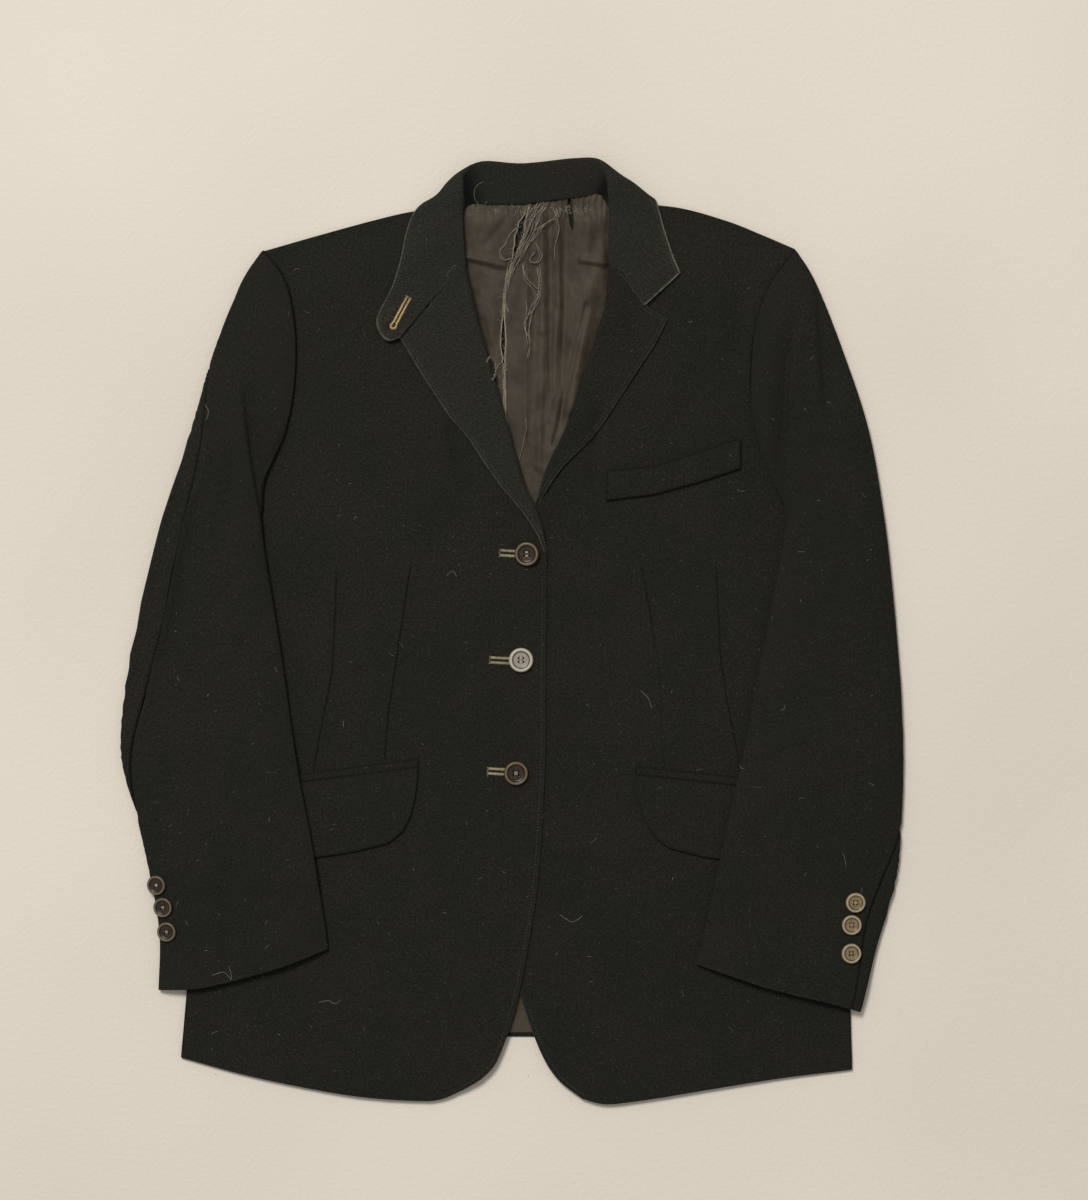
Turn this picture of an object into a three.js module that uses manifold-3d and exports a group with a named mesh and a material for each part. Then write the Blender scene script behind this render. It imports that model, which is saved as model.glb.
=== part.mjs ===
import * as THREE from 'three';
import Module from 'manifold-3d';

// Riding coat, buttoned and laid flat on its back, seen from above.
// Units are millimetres, +Z is up and +Y points to the collar. The origin is under the middle of the coat.
// "Right" and "left" are the wearer's: the right front lies at -X and laps over the left front.

// Driving dimensions
const CLOTH = 1.6;             // wool of the body and sleeves
const SEAM_GAP = 0.3;          // between pieces that are sewn or that lie on each other
const LAPEL_CLOTH = 2.0;       // front and facing together
const COLLAR_CLOTH = 2.0;
const LINING_CLOTH = 1.0;
const FLAP_CLOTH = 2.0;
const JETTING_CLOTH = 1.4;
const WELT_CLOTH = 2.4;
const ROLL_RADIUS = 3.4;       // of the lapel's soft fold, at its top end
const ROLL_RADIUS_LOW = 2.3;   // and at its bottom end
const LAPEL_LIP = 3.2;         // how far the lapel turns in below its roll
const ROLL_REACH = 16;         // over which the rolled lapel sinks to the front
const NECK_LIFT = 2.5;         // of the back neck, over the folded collar
const OVERLAP_RAMP = 24;       // over which the right front climbs on the left front
const SLEEVE_RAMP = 12;        // over which a sleeve climbs on the body's side
const SLEEVE_EDGE = 6;         // radius of a sleeve's lower edges
const SLEEVE_CROWN = 0.34;     // part of a sleeve's width that rounds up to its top
const LAY_EASE = 0.3;          // added under cloth that is folded onto cloth
const LINING_EASE = 0.5;       // between the back and its loose lining
const SEAM_PLACE = 0.008;      // width of a sleeve's seam gap, as part of the sleeve's width
const NORMAL_STEP = 0.004;     // for a sleeve's own normals, as part of its length and width
const FRONT_BUTTON_RADIUS = 9.75;
const CUFF_BUTTON_RADIUS = 8;
const BUTTON_FOOT = 0.86;      // radius of a button's flat back, as part of the button's

// Shoulder line that closes the fronts' loft: level at the neck and slope, and the neck's middle and half
const SHOULDER_LEVEL = 342.4;
const SHOULDER_SLOPE = 0.27;
const NECK_MIDDLE = 19.6;
const NECK_HALF = 77;
const SHOULDER_RAMP = 48;      // over which the loft opens below the shoulder line
const SIDE_POWER = 2.5;        // how late the loft closes towards the sides
const LEAST_LOFT = 0.25;       // part of the loft that a trough leaves
// The raised back neck: it starts and ends between these levels and half widths
const NECK_RISE = { right: [-93.2, -60.4], left: [112.4, 138.8], level: [284.8, 322.4] };
// The right front's overlap ends at this place and fades out between these levels, towards the lapels
const OVERLAP_EDGE = -23.6;
const OVERLAP_LEVEL = [111.2, 152.8];
// A panel's first and last part of its length, over which its end's curve dies out
const END_BEND = 0.16;
// The same for a sleeve's armhole and cuff
const ARMHOLE_BEND = 0.3;
const CUFF_BEND = 0.15;
const UNDERARM_SLOPE = 0.9;    // at which the line that a sleeve climbs on leaves the side above the underarm
const POCKET_RAMP = 16;        // over which a sleeve climbs on the hip pocket
const SLEEVE_PRESS = 0.45;     // part of what a sleeve climbs that it loses in height
const SLEEVE_MIDDLE = 0.42;    // level of a sleeve's side edges, as part of its height
const LEAST_CROWN = 0.5;       // part of a sleeve's crown that a trough leaves
const LINING_FLAT = [4, 14];   // from a lining's edges, where its folds start and are full
const LINING_NECK = [332, 340];  // levels between which the lining's folds end below the neck

// Sections along and columns across each kind of piece
const PANEL_GRID = { sections: 26, front: 13, back: 10, backCrowding: 1.35 };
const LAPEL_GRID = { sections: 14, columns: 12, turn: 6 };
const COLLAR_GRID = { sections: 30, columns: 11 };
const SLEEVE_GRID = { sections: 18, top: 9, under: 8, outerTurn: 4, nearOuter: 1.94, evenShare: 0.35 };

const WOOL = { color: 0x242320, roughness: 0.92 };
const COLLAR_WOOL = { color: 0x2a2925, roughness: 0.92 };
const LINING = { color: 0x51483f, roughness: 0.8 };
const DARK_BUTTON = { color: 0x372f24, roughness: 0.45 };
const GREY_BUTTON = { color: 0x8f877a, roughness: 0.5 };

// The row of both fronts at which the armhole ends and the side seam starts
const UNDERARM_ROW = 6;
// A row for each section across a front: its point on the armhole or side seam and on the front edge
const RIGHT_FRONT = table('sideX sideY edgeX edgeY', [
  [-198, 304, -57.2, 336.8],
  [-180.4, 280.8, -50, 315.2],
  [-173.2, 248.8, -40.4, 288.8],
  [-172.4, 215.2, -31.6, 250.4],
  [-176.4, 183.2, -21.2, 212.8],
  [-184.4, 152.8, -10.8, 176.8],
  [-199.4, 125.6, -1.2, 140],
  [-206.4, 95.2, 10.8, 107.2],
  [-215.6, 56.8, 26, 68.8],
  [-225.2, 16.8, 27.6, 24.8],
  [-230.8, -39.2, 26.8, -39.2],
  [-238.8, -91.2, 26.8, -95.2],
  [-246, -143.2, 24.4, -151.2],
  [-252.4, -199.2, 20.4, -203.2],
  [-256.4, -251.2, 13.2, -251.2],
  [-260.4, -295.2, 2.8, -301.6],
  [-262.8, -323.2, -10.8, -341.6],
  [-263.7, -332.8, -22.6, -357],
  [-264.4, -341.6, -38, -367.2],
]);
const RIGHT_SHOULDER = table('x y', [
  [-198, 304],
  [-153.2, 316.8],
  [-112.4, 328],
  [-81.2, 335.2],
  [-57.2, 336.8],
]);
const RIGHT_HEM = table('x y', [
  [-264.4, -341.6],
  [-217.2, -354.4],
  [-169.2, -364.8],
  [-121.2, -372.8],
  [-77.2, -376],
  [-56.8, -375],
  [-38, -367.2],
]);
const LEFT_FRONT = table('sideX sideY edgeX edgeY', [
  [226.8, 305.6, 96.4, 341.6],
  [206.8, 276.8, 88.4, 316.8],
  [196.4, 248.8, 83.2, 288.8],
  [191.6, 215.2, 76.8, 250.4],
  [192.4, 183.2, 63.6, 211.2],
  [198.8, 152.8, 54, 176.8],
  [211.6, 120.8, 37.2, 140.8],
  [221, 95.2, 22.8, 104.8],
  [228.4, 56.8, -5.2, 68.8],
  [237.2, 16.8, -11.6, 24.8],
  [242, -39.2, -11.6, -39.2],
  [249.2, -91.2, -11.6, -95.2],
  [259.6, -143.2, -11.6, -151.2],
  [264.4, -199.2, -10.8, -203.2],
  [268.4, -251.2, -2.8, -253.6],
  [270.8, -295.2, 10, -299.2],
  [271.6, -323.2, 23.6, -336.8],
  [272.1, -337.6, 37.2, -358.8],
  [272.4, -351.2, 56.4, -374.4],
]);
const LEFT_SHOULDER = table('x y', [
  [226.8, 305.6],
  [198.8, 317.6],
  [172.4, 328],
  [134.8, 338.4],
  [96.4, 341.6],
]);
const LEFT_HEM = table('x y', [
  [272.4, -351.2],
  [218.8, -357.6],
  [166.8, -365.6],
  [118.8, -373.6],
  [82.8, -378.4],
  [69.2, -378],
  [56.4, -374.4],
]);
const BACK_TOP = table('x y', [
  [-198, 304],
  [-129.2, 322.4],
  [-57.2, 336.8],
  [6.8, 338.4],
  [70.8, 342.4],
  [110.8, 341.6],
  [170.8, 327.2],
  [226.8, 305.6],
]);
const BACK_HEM = table('x y', [
  [-264.4, -341.6],
  [-169.2, -332],
  [-73.2, -327.2],
  [14.8, -324.8],
  [110.8, -329.6],
  [198.8, -340],
  [272.4, -351.2],
]);

// How far the fronts stand off the back: a row for each level, with the half width where that ends
const LOFT = table('y height halfWidth', [
  [-383.2, 2.0, 264],
  [-295.2, 2.4, 258],
  [-135.2, 4.0, 245],
  [-39.2, 5.2, 230],
  [24.8, 6.0, 225],
  [120.8, 7.0, 206],
  [184.8, 7.2, 232],
  [264.8, 7.0, 237],
  [384.8, 6.0, 237],
]);
// Soft troughs of the fronts: both ends, half width and depth
const FRONT_TROUGHS = table('x0 y0 x1 y1 width depth', [
  [-39.6, 160.8, -33.2, 100.8, 9, 1.6],
  [70.8, 164.8, 75.6, 56.8, 15, 1.2],
  [186.8, 304.8, 181.2, 216.8, 11, 1.8],
  [-145.2, 8.8, -93.2, 24.8, 14, 1.2],
  [38.8, -247.2, 102.8, -303.2, 16, 1.0],
]);

// A row for each section of a lapel: its level, the outer edge and the roll line
const RIGHT_LAPEL = table('y edge roll', [
  [287.2, -42, -34.8],
  [276, -50.8, -32.8],
  [261.6, -62, -29.6],
  [250.4, -77.2, -27.2],
  [240, -92.4, -24.4],
  [229.6, -86, -21.2],
  [201.6, -69.2, -13.2],
  [171.2, -49.2, -4.4],
  [152.8, -33.2, 0.4],
  [116.8, -9.2, 10],
  [95.2, 8.4, 21.2],
  [82.4, 16.4, 26],
]);
const LEFT_LAPEL = table('y edge roll', [
  [284, 83.6, 76.4],
  [272.8, 93.2, 76],
  [259.2, 106, 74.8],
  [249.6, 124.4, 71.6],
  [231.2, 115.6, 66],
  [198.4, 94, 55.6],
  [168.8, 74.8, 46.8],
  [152.8, 62.8, 38.8],
  [132, 41.2, 28.4],
  [117.6, 32.4, 23.6],
]);

// A row for each section round the neck, from the right front's end to the left front's:
// the neck seam, the fold, the middle of the fall and its edge, each with its height.
// Heights are above the front below where 'on' is 1, and above the table that the coat lies on where it is 0.
const COLLAR = table('seamX seamY seamZ foldX foldY foldZ midX midY midZ edgeX edgeY edgeZ on', [
  [-40.4, 295.2, -1.6, -36, 294.8, 1.8, -64, 267.2, 4.2, -89.2, 234.4, 5.3, 1],
  [-40.4, 296.4, -1.6, -36.4, 296, 1.8, -64.8, 268, 3.8, -98, 232, 5.2, 1],
  [-41.2, 298.8, -1.6, -36.8, 298.4, 1.8, -66, 270.4, 3.8, -104.4, 237.6, 4.8, 1],
  [-42, 302, -1.6, -37.2, 301.6, 1.8, -66.8, 274.4, 3.6, -107.6, 247.2, 4.0, 1],
  [-42.8, 305.6, -1.6, -37.6, 305.6, 1.9, -67.6, 278.4, 3.2, -104.4, 257.6, 3.0, 1],
  [-42.8, 312.8, -1.5, -38, 312.8, 2.2, -65.2, 290.4, 3.4, -95.6, 274.4, 2.4, 1],
  [-42.8, 322.4, -1.0, -38.4, 322.4, 3.2, -62.8, 307.2, 4.2, -88.4, 297.6, 2.4, 1],
  [-40.4, 333.6, -0.6, -38.8, 337.6, 4.4, -60.4, 324, 5.2, -84.4, 318.4, 2.6, 1],
  [-38, 337.6, 6.8, -39.2, 348, 11.6, -60.4, 339.2, 10.4, -77.2, 336, 8.6, 0],
  [-35.6, 340, 7.0, -39.6, 356, 11.2, -57.2, 350.4, 8.4, -65.2, 345.6, 5.0, 0],
  [-30, 342.4, 7.0, -39.6, 366.4, 9.0, -49.2, 360, 4.0, -50.8, 343.2, 0, 0],
  [-17.2, 342.4, 7.0, -22.8, 376, 5.4, -22, 359.2, 0, -22, 332, 0, 0],
  [9.2, 342.4, 7.0, 9.2, 374.4, 5.0, 9.2, 356.8, 0, 9.2, 327.2, 0, 0],
  [42.8, 346.4, 7.0, 50.8, 378.4, 5.4, 52.4, 360, 0, 53.2, 332, 0, 0],
  [58.8, 347.2, 7.0, 70, 376.8, 8.0, 78.8, 366.4, 2.0, 82, 343.2, 0, 0],
  [67.6, 346.4, 7.0, 76.4, 364, 10.6, 92.4, 362.4, 5.6, 101.2, 348, 1.4, 0],
  [70.8, 342.4, 7.0, 78, 351.2, 11.6, 98, 355.2, 9.6, 114, 346.4, 7.6, 0],
  [79.6, 333.6, -0.6, 78, 337.6, 4.4, 98, 340, 5.2, 118, 336, 3.3, 1],
  [81.2, 322.4, -1.0, 77.6, 322.4, 3.2, 99.6, 320.8, 4.2, 122, 321.6, 2.4, 1],
  [81.2, 309.6, -1.5, 77.2, 309.6, 2.2, 102, 299.2, 3.4, 126.8, 306.4, 2.3, 1],
  [81.2, 302.4, -1.6, 77.2, 302.4, 1.8, 103.6, 281.6, 3.5, 130.8, 295.2, 2.6, 1],
  [81.2, 296, -1.6, 77.6, 295.6, 1.8, 105.2, 266.4, 3.8, 134.8, 286.4, 2.6, 1],
]);

// A row for each section of a sleeve: its point on the outer and on the inner edge, its height,
// and how far the hind-arm seam lies on top, as part of the width (below zero it is on the underside)
const RIGHT_SLEEVE = table('outerX outerY innerX innerY height seam', [
  [-199.6, 305.2, -185.2, 153.6, 8.6, -0.03],
  [-216.4, 279.2, -193.6, 134.4, 11, -0.03],
  [-238.8, 223.2, -201.2, 112, 12.5, -0.02],
  [-257.2, 160.8, -198, 71.2, 13, 0.14],
  [-280.4, 88.8, -188.4, 12.8, 13, 0.17],
  [-296.4, 24.8, -181.2, -32.8, 12.5, 0.17],
  [-309.2, -40.8, -174.8, -79.2, 12, 0.13],
  [-313, -99.2, -167.6, -123.2, 12, 0.06],
  [-299.6, -151.2, -159.6, -164, 11.5, 0.0],
  [-289.2, -199.2, -153.2, -204, 11, -0.03],
  [-282, -244, -148.4, -234.4, 10.5, -0.03],
  [-282.8, -287.2, -146, -253.6, 10, -0.03],
]);
const RIGHT_ARMHOLE = table('x y', [
  [-199.6, 305.2],
  [-181.6, 280.8],
  [-174, 248.8],
  [-173.2, 216],
  [-177.2, 184],
  [-185.2, 153.6],
]);
const RIGHT_CUFF = table('x y', [
  [-282.8, -287.2],
  [-254.8, -286],
  [-230, -281.2],
  [-185.2, -268.8],
  [-146, -253.6],
]);
const LEFT_SLEEVE = table('outerX outerY innerX innerY height seam', [
  [228.8, 306, 203.6, 139.2, 8.6, -0.03],
  [243.6, 279.2, 212.4, 116.8, 11, -0.03],
  [265.2, 224.8, 220.4, 92, 12.5, -0.03],
  [286, 160.8, 213.2, 50.4, 13, -0.03],
  [298.8, 88.8, 202, -5.6, 13, -0.03],
  [306, 24.8, 194.8, -44, 12.5, -0.03],
  [311.6, -40.8, 186.8, -87.2, 12, -0.03],
  [314, -99.2, 178.8, -123.2, 12, -0.02],
  [312.4, -155.2, 170.8, -159.2, 11.5, -0.01],
  [308.4, -199.2, 162, -199.2, 11, 0.05],
  [294.8, -247.2, 154.8, -232.8, 10.5, 0.09],
  [279.6, -304.8, 146.8, -265.6, 10, 0.1],
]);
const LEFT_ARMHOLE = table('x y', [
  [228.8, 306],
  [208, 276.8],
  [197.6, 248.8],
  [192.8, 215.2],
  [193.6, 183.2],
  [197.6, 160.8],
  [203.6, 139.2],
]);
const LEFT_CUFF = table('x y', [
  [279.6, -304.8],
  [258.8, -298.4],
  [209.2, -286.4],
  [174.8, -275.2],
  [146.8, -265.6],
]);
// Soft folds pressed into the sleeves' upper sides
const SLEEVE_TROUGHS = table('x0 y0 x1 y1 width depth', [
  [-204.4, 188, -196.4, 128.8, 7, 3.4],
  [-261.2, 61.6, -262.8, 8.8, 8, 1.6],
  [-228.4, -191.2, -226.8, -275.2, 8, 1.4],
  [232.4, 240.8, 227.6, 152.8, 7, 3.0],
  [253.2, 272.8, 258, 191.2, 9, 1.8],
  [230.8, -55.2, 270.8, -79.2, 12, 1.2],
]);

// The back lining in the neck opening: a row for each section
const NECK_LINING = table('y right left', [
  [339.6, -30, 61.2],
  [332, -33.2, 67.6],
  [319.2, -41.2, 77.2],
  [295.2, -44.4, 82],
  [264.8, -38, 81.2],
  [232.8, -29.2, 72.4],
  [200.8, -20.4, 62.8],
  [168.8, -11.6, 52.4],
  [140.8, -3.6, 39.6],
  [111.2, 6.8, 27.6],
]);
const LINING_FOLDS = table('x0 y0 x1 y1 width depth', [
  [25.2, 332.8, 26.8, 128.8, 4.2, -3.2],
  [38, 335.2, 35.6, 152.8, 4.0, -2.6],
  [52.4, 335.2, 48.4, 176.8, 4.4, -3.6],
  [69.2, 304.8, 32.4, 152.8, 5.5, -2.4],
  [12.4, 264.8, 10, 152.8, 3.0, -1.2],
  [-17.2, 264.8, -9.2, 176.8, 6, -1.8],
  [-25.2, 298.4, 14.8, 295.2, 5, -1.6],
]);
// Where the lining has torn open: the ends of the rip and its width
const LINING_RIP = { x0: 10, y0: 331.2, x1: 3.6, y1: 305.6, width: 5.6 };
const HEM_LINING = table('y right left', [
  [-264.8, -9.2, 29.2],
  [-295.2, -15.6, 35.6],
  [-321.6, -18.8, 40.4],
]);

// Pocket pieces: a row for each section across, with its upper and lower end
const BREAST_WELT = table('x top bottom', [
  [76.4, 128, 104.8],
  [114, 131.2, 109.6],
  [149.2, 142.4, 119.2],
  [182.8, 153.6, 130.4],
]);
const RIGHT_FLAP = table('x top bottom', [
  [-75.2, -109.6, -116],
  [-77.2, -109.6, -133.6],
  [-81.2, -110, -148.8],
  [-87.6, -110.8, -160.8],
  [-98.8, -112, -169.6],
  [-128.4, -116, -176.8],
  [-166, -120.8, -182.4],
  [-220.4, -127.2, -188.8],
]);
const LEFT_FLAP = table('x top bottom', [
  [100, -115.2, -121.6],
  [102, -115.2, -136.8],
  [106.8, -115.6, -151.2],
  [114.8, -116.8, -164.8],
  [126, -118, -173.6],
  [154.8, -121.2, -180.8],
  [190.8, -125.2, -185.6],
  [248.4, -132, -192.8],
]);
const RIGHT_JETTING = table('x top bottom', [
  [-74.8, -102.4, -108.8],
  [-121.2, -108.8, -114.8],
  [-166, -114.4, -120],
  [-220.4, -120.8, -126.4],
]);
const LEFT_JETTING = table('x top bottom', [
  [99.6, -108.8, -114.4],
  [142.8, -113.2, -119.2],
  [182.8, -117.6, -123.6],
  [248.4, -124.8, -131.2],
]);
// The sleeves lie over the hip pockets between these levels
const POCKET_TOP = -96.8;
const POCKET_BOTTOM = -199.2;

const FRONT_BUTTONS = table('name x y tiltX tiltY', [
  ['front_button_top', 12.4, 61.6, 0.05, -0.11],
  ['front_button_middle', 7.6, -23.2, 0, 0.03],
  ['front_button_low', 3.6, -113.6, 0.04, 0.04],
]);
// Cuff buttons: the section and part of the width at which each one is sewn on, and what it stands off
const CUFF_BUTTONS = table('name sleeve along across rise', [
  ['cuff_button_right_1', 'right', 0.826, 0.035, -0.4],
  ['cuff_button_right_2', 'right', 0.862, 0.05, 0.1],
  ['cuff_button_right_3', 'right', 0.902, 0.055, 0.2],
  ['cuff_button_left_1', 'left', 0.855, 0.2, 0.3],
  ['cuff_button_left_2', 'left', 0.89, 0.2, 0.3],
  ['cuff_button_left_3', 'left', 0.93, 0.19, 0.3],
]);

/** Rows of numbers as objects with named columns. */
function table(names, rows) {
  const keys = names.split(' ');
  return rows.map((row) => Object.fromEntries(keys.map((key, i) => [key, row[i]])));
}

/** Value of a column at a place from 0 to 1 along the table, straight between rows or rounded. */
function sample(rows, column, place, rounded = true) {
  const at = THREE.MathUtils.clamp(place, 0, 1) * (rows.length - 1);
  const i = Math.min(Math.floor(at), rows.length - 2);
  const f = at - i;
  const value = (k) => rows[THREE.MathUtils.clamp(k, 0, rows.length - 1)][column];
  if (!rounded) {
    return THREE.MathUtils.lerp(value(i), value(i + 1), f);
  }
  const start = (value(i + 1) - value(i - 1)) / (i > 0 ? 2 : 1);
  const end = (value(i + 2) - value(i)) / (i < rows.length - 2 ? 2 : 1);
  const step = value(i + 1) - value(i);
  return value(i) + f * (start + f * (3 * step - 2 * start - end + f * (start + end - 2 * step)));
}

/** Value of a column where another, falling or rising, column has a given value. */
function lookUp(rows, key, column, value) {
  const rising = rows[rows.length - 1][key] > rows[0][key];
  const i = rows.findIndex((row) => (rising ? row[key] >= value : row[key] <= value));
  if (i === 0) {
    return rows[0][column];
  }
  if (i < 0) {
    return rows[rows.length - 1][column];
  }
  const f = (value - rows[i - 1][key]) / (rows[i][key] - rows[i - 1][key]);
  return THREE.MathUtils.lerp(rows[i - 1][column], rows[i][column], f);
}

/** Sum of soft troughs, each a bell-shaped section along a straight line. */
function troughs(rows, x, y) {
  let depth = 0;
  for (const row of rows) {
    const line = new THREE.Line3(new THREE.Vector3(row.x0, row.y0, 0), new THREE.Vector3(row.x1, row.y1, 0));
    const point = new THREE.Vector3(x, y, 0);
    const near = line.closestPointToPoint(point, true, new THREE.Vector3());
    depth += row.depth * Math.exp(-((near.distanceTo(point) / row.width) ** 2));
  }
  return depth;
}

const smooth = (value, from, to) => THREE.MathUtils.smoothstep(value, from, to);

/** Height of the back panel's upper side, which climbs over the folded collar at the neck. */
function backTop(x, y) {
  const across = smooth(x, ...NECK_RISE.right) * (1 - smooth(x, ...NECK_RISE.left));
  return CLOTH + NECK_LIFT * across * smooth(y, ...NECK_RISE.level);
}

/** Gap between back and fronts: it closes at the side seams and along the shoulders. */
function loft(x, y) {
  const height = lookUp(LOFT, 'y', 'height', y);
  const halfWidth = lookUp(LOFT, 'y', 'halfWidth', y);
  const shoulder = SHOULDER_LEVEL - SHOULDER_SLOPE * Math.max(0, Math.abs(x - NECK_MIDDLE) - NECK_HALF);
  const side = 1 - Math.min(1, Math.abs(x) / halfWidth) ** SIDE_POWER;
  const open = height * side * smooth(shoulder - y, 0, SHOULDER_RAMP);
  const trough = troughs(FRONT_TROUGHS, x, y);
  return Math.max(open - trough, LEAST_LOFT * open);
}

/** Height of the left front's upper side. */
const leftFrontTop = (x, y) => backTop(x, y) + SEAM_GAP + loft(x, y) + CLOTH;

/** Height of the right front's upper side, which climbs on the left front towards its edge. */
function rightFrontTop(x, y) {
  const overlap = smooth(x, OVERLAP_EDGE - OVERLAP_RAMP, OVERLAP_EDGE) * (1 - smooth(y, ...OVERLAP_LEVEL));
  return leftFrontTop(x, y) + (CLOTH + SEAM_GAP) * overlap;
}

/** Numbers of a grid's points once round its border. */
function borderOf(rows, columns) {
  const across = Array.from({ length: columns - 1 }, (_, c) => c);
  const down = Array.from({ length: rows - 1 }, (_, r) => r);
  return [
    ...across,
    ...down.map((r) => r * columns + columns - 1),
    ...across.map((c) => rows * columns - 1 - c),
    ...down.map((r) => (rows - 1 - r) * columns),
  ];
}

/** Closed wall between an outer and an inner grid of points, each an array of rows. */
function wall(outer, inner) {
  const rows = outer.length;
  const columns = outer[0].length;
  const points = [...outer.flat(), ...inner.flat()];
  const low = rows * columns;
  const index = [];
  const quad = (a, b, c, d) => index.push(a, b, c, a, c, d);
  for (let r = 0; r < rows - 1; r += 1) {
    for (let c = 0; c < columns - 1; c += 1) {
      const at = r * columns + c;
      quad(at, at + columns, at + columns + 1, at + 1);
      quad(low + at, low + at + 1, low + at + columns + 1, low + at + columns);
    }
  }
  const border = borderOf(rows, columns);
  border.forEach((a, i) => {
    const b = border[(i + 1) % border.length];
    quad(a, b, low + b, low + a);
  });
  const volume = index.reduce((sum, _, i) => {
    if (i % 3) {
      return sum;
    }
    const [a, b, c] = [points[index[i]], points[index[i + 1]], points[index[i + 2]]];
    return sum + a.dot(b.clone().cross(c));
  }, 0);
  if (volume < 0) {
    index.reverse();
  }
  const geometry = new THREE.BufferGeometry().setFromPoints(points);
  geometry.setIndex(index);
  return geometry;
}

/** A grid of points moved along its own normals, which are its direction down times its direction across. */
function offset(grid, distance) {
  const clampedRow = (r) => THREE.MathUtils.clamp(r, 0, grid.length - 1);
  const clampedColumn = (c) => THREE.MathUtils.clamp(c, 0, grid[0].length - 1);
  return grid.map((row, r) => row.map((point, c) => {
    const down = grid[clampedRow(r + 1)][c].clone().sub(grid[clampedRow(r - 1)][c]);
    const across = row[clampedColumn(c + 1)].clone().sub(row[clampedColumn(c - 1)]);
    return point.clone().addScaledVector(down.cross(across).normalize(), distance);
  }));
}

/** Grid of points from a function of two places, each from 0 to 1. */
function grid(rows, columns, at) {
  return Array.from({ length: rows + 1 }, (_, r) => (
    Array.from({ length: columns + 1 }, (__, c) => at(r / rows, c / columns))));
}

/** A wall of even height on a plan outline, with its upper side given by a height function. */
function layer(plan, top, thickness) {
  const outer = plan.map((row) => row.map(([x, y]) => new THREE.Vector3(x, y, top(x, y))));
  const inner = outer.map((row) => row.map(({ x, y, z }) => new THREE.Vector3(x, y, z - thickness)));
  return wall(outer, inner);
}

/** Plan of a panel between two side columns, its first and last section bent to a curve each.
 *  Sections lie closer together near the top where crowding is over 1. */
function panelPlan(rows, columns, from, to, first, last, crowding = 1) {
  return grid(rows, columns, (place, u) => {
    const v = place ** crowding;
    const start = from(v);
    const end = to(v);
    const point = start.clone().lerp(end, u);
    const topBend = curvePoint(first, u).sub(from(0).clone().lerp(to(0), u));
    const lowBend = curvePoint(last, u).sub(from(1).clone().lerp(to(1), u));
    point.addScaledVector(topBend, 1 - smooth(v, 0, END_BEND));
    point.addScaledVector(lowBend, smooth(v, 1 - END_BEND, 1));
    return [point.x, point.y];
  });
}

/** Plan point of an end's curve. */
const curvePoint = (rows, u) => new THREE.Vector2(sample(rows, 'x', u), sample(rows, 'y', u));
/** Plan point of one of a table's two lines. */
function rowPoint(rows, name, v) {
  return new THREE.Vector2(sample(rows, `${name}X`, v), sample(rows, `${name}Y`, v));
}

/** Front panel: sections from the side to the front edge, with the hem's curve at the bottom. */
function frontPanel(rows, shoulder, hem, top) {
  const side = (v) => rowPoint(rows, 'side', v);
  const edge = (v) => rowPoint(rows, 'edge', v);
  return layer(panelPlan(PANEL_GRID.sections, PANEL_GRID.front, side, edge, shoulder, hem), top, CLOTH);
}

/** Back panel: flat on the table, but for the neck, which lies on the folded collar. */
function backPanel() {
  const right = (v) => rowPoint(RIGHT_FRONT, 'side', v);
  const left = (v) => rowPoint(LEFT_FRONT, 'side', v);
  const { sections, back, backCrowding } = PANEL_GRID;
  return layer(panelPlan(sections, back, right, left, BACK_TOP, BACK_HEM, backCrowding), backTop, CLOTH);
}

/** Piece that lies on a panel, made from the panel's own height and moved out by the seam gap. */
function patch(rows, columns, lines, top, thickness) {
  const plan = grid(rows, columns, (v, u) => {
    const x = sample(lines, 'x', v, false);
    return [x, THREE.MathUtils.lerp(sample(lines, 'top', v, false), sample(lines, 'bottom', v, false), u)];
  });
  return layer(plan, (x, y) => top(x, y) + SEAM_GAP + LAY_EASE + thickness, thickness);
}

/** Lining: lies on the back, with soft folds that die out towards its edges. */
function liningPatch(rows, columns, lines, folds) {
  const plan = grid(rows, columns, (v, u) => {
    const right = sample(lines, 'right', v);
    const left = sample(lines, 'left', v);
    return [THREE.MathUtils.lerp(right, left, u), sample(lines, 'y', v)];
  });
  return layer(plan, (x, y) => {
    const right = lookUp(lines, 'y', 'right', y);
    const left = lookUp(lines, 'y', 'left', y);
    const inside = smooth(Math.min(x - right, left - x), ...LINING_FLAT);
    const clearOfNeck = 1 - smooth(y, ...LINING_NECK);
    const low = backTop(x, y) + SEAM_GAP + LINING_EASE + LINING_CLOTH;
    return low - troughs(folds, x, y) * inside * clearOfNeck;
  }, LINING_CLOTH);
}

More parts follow.
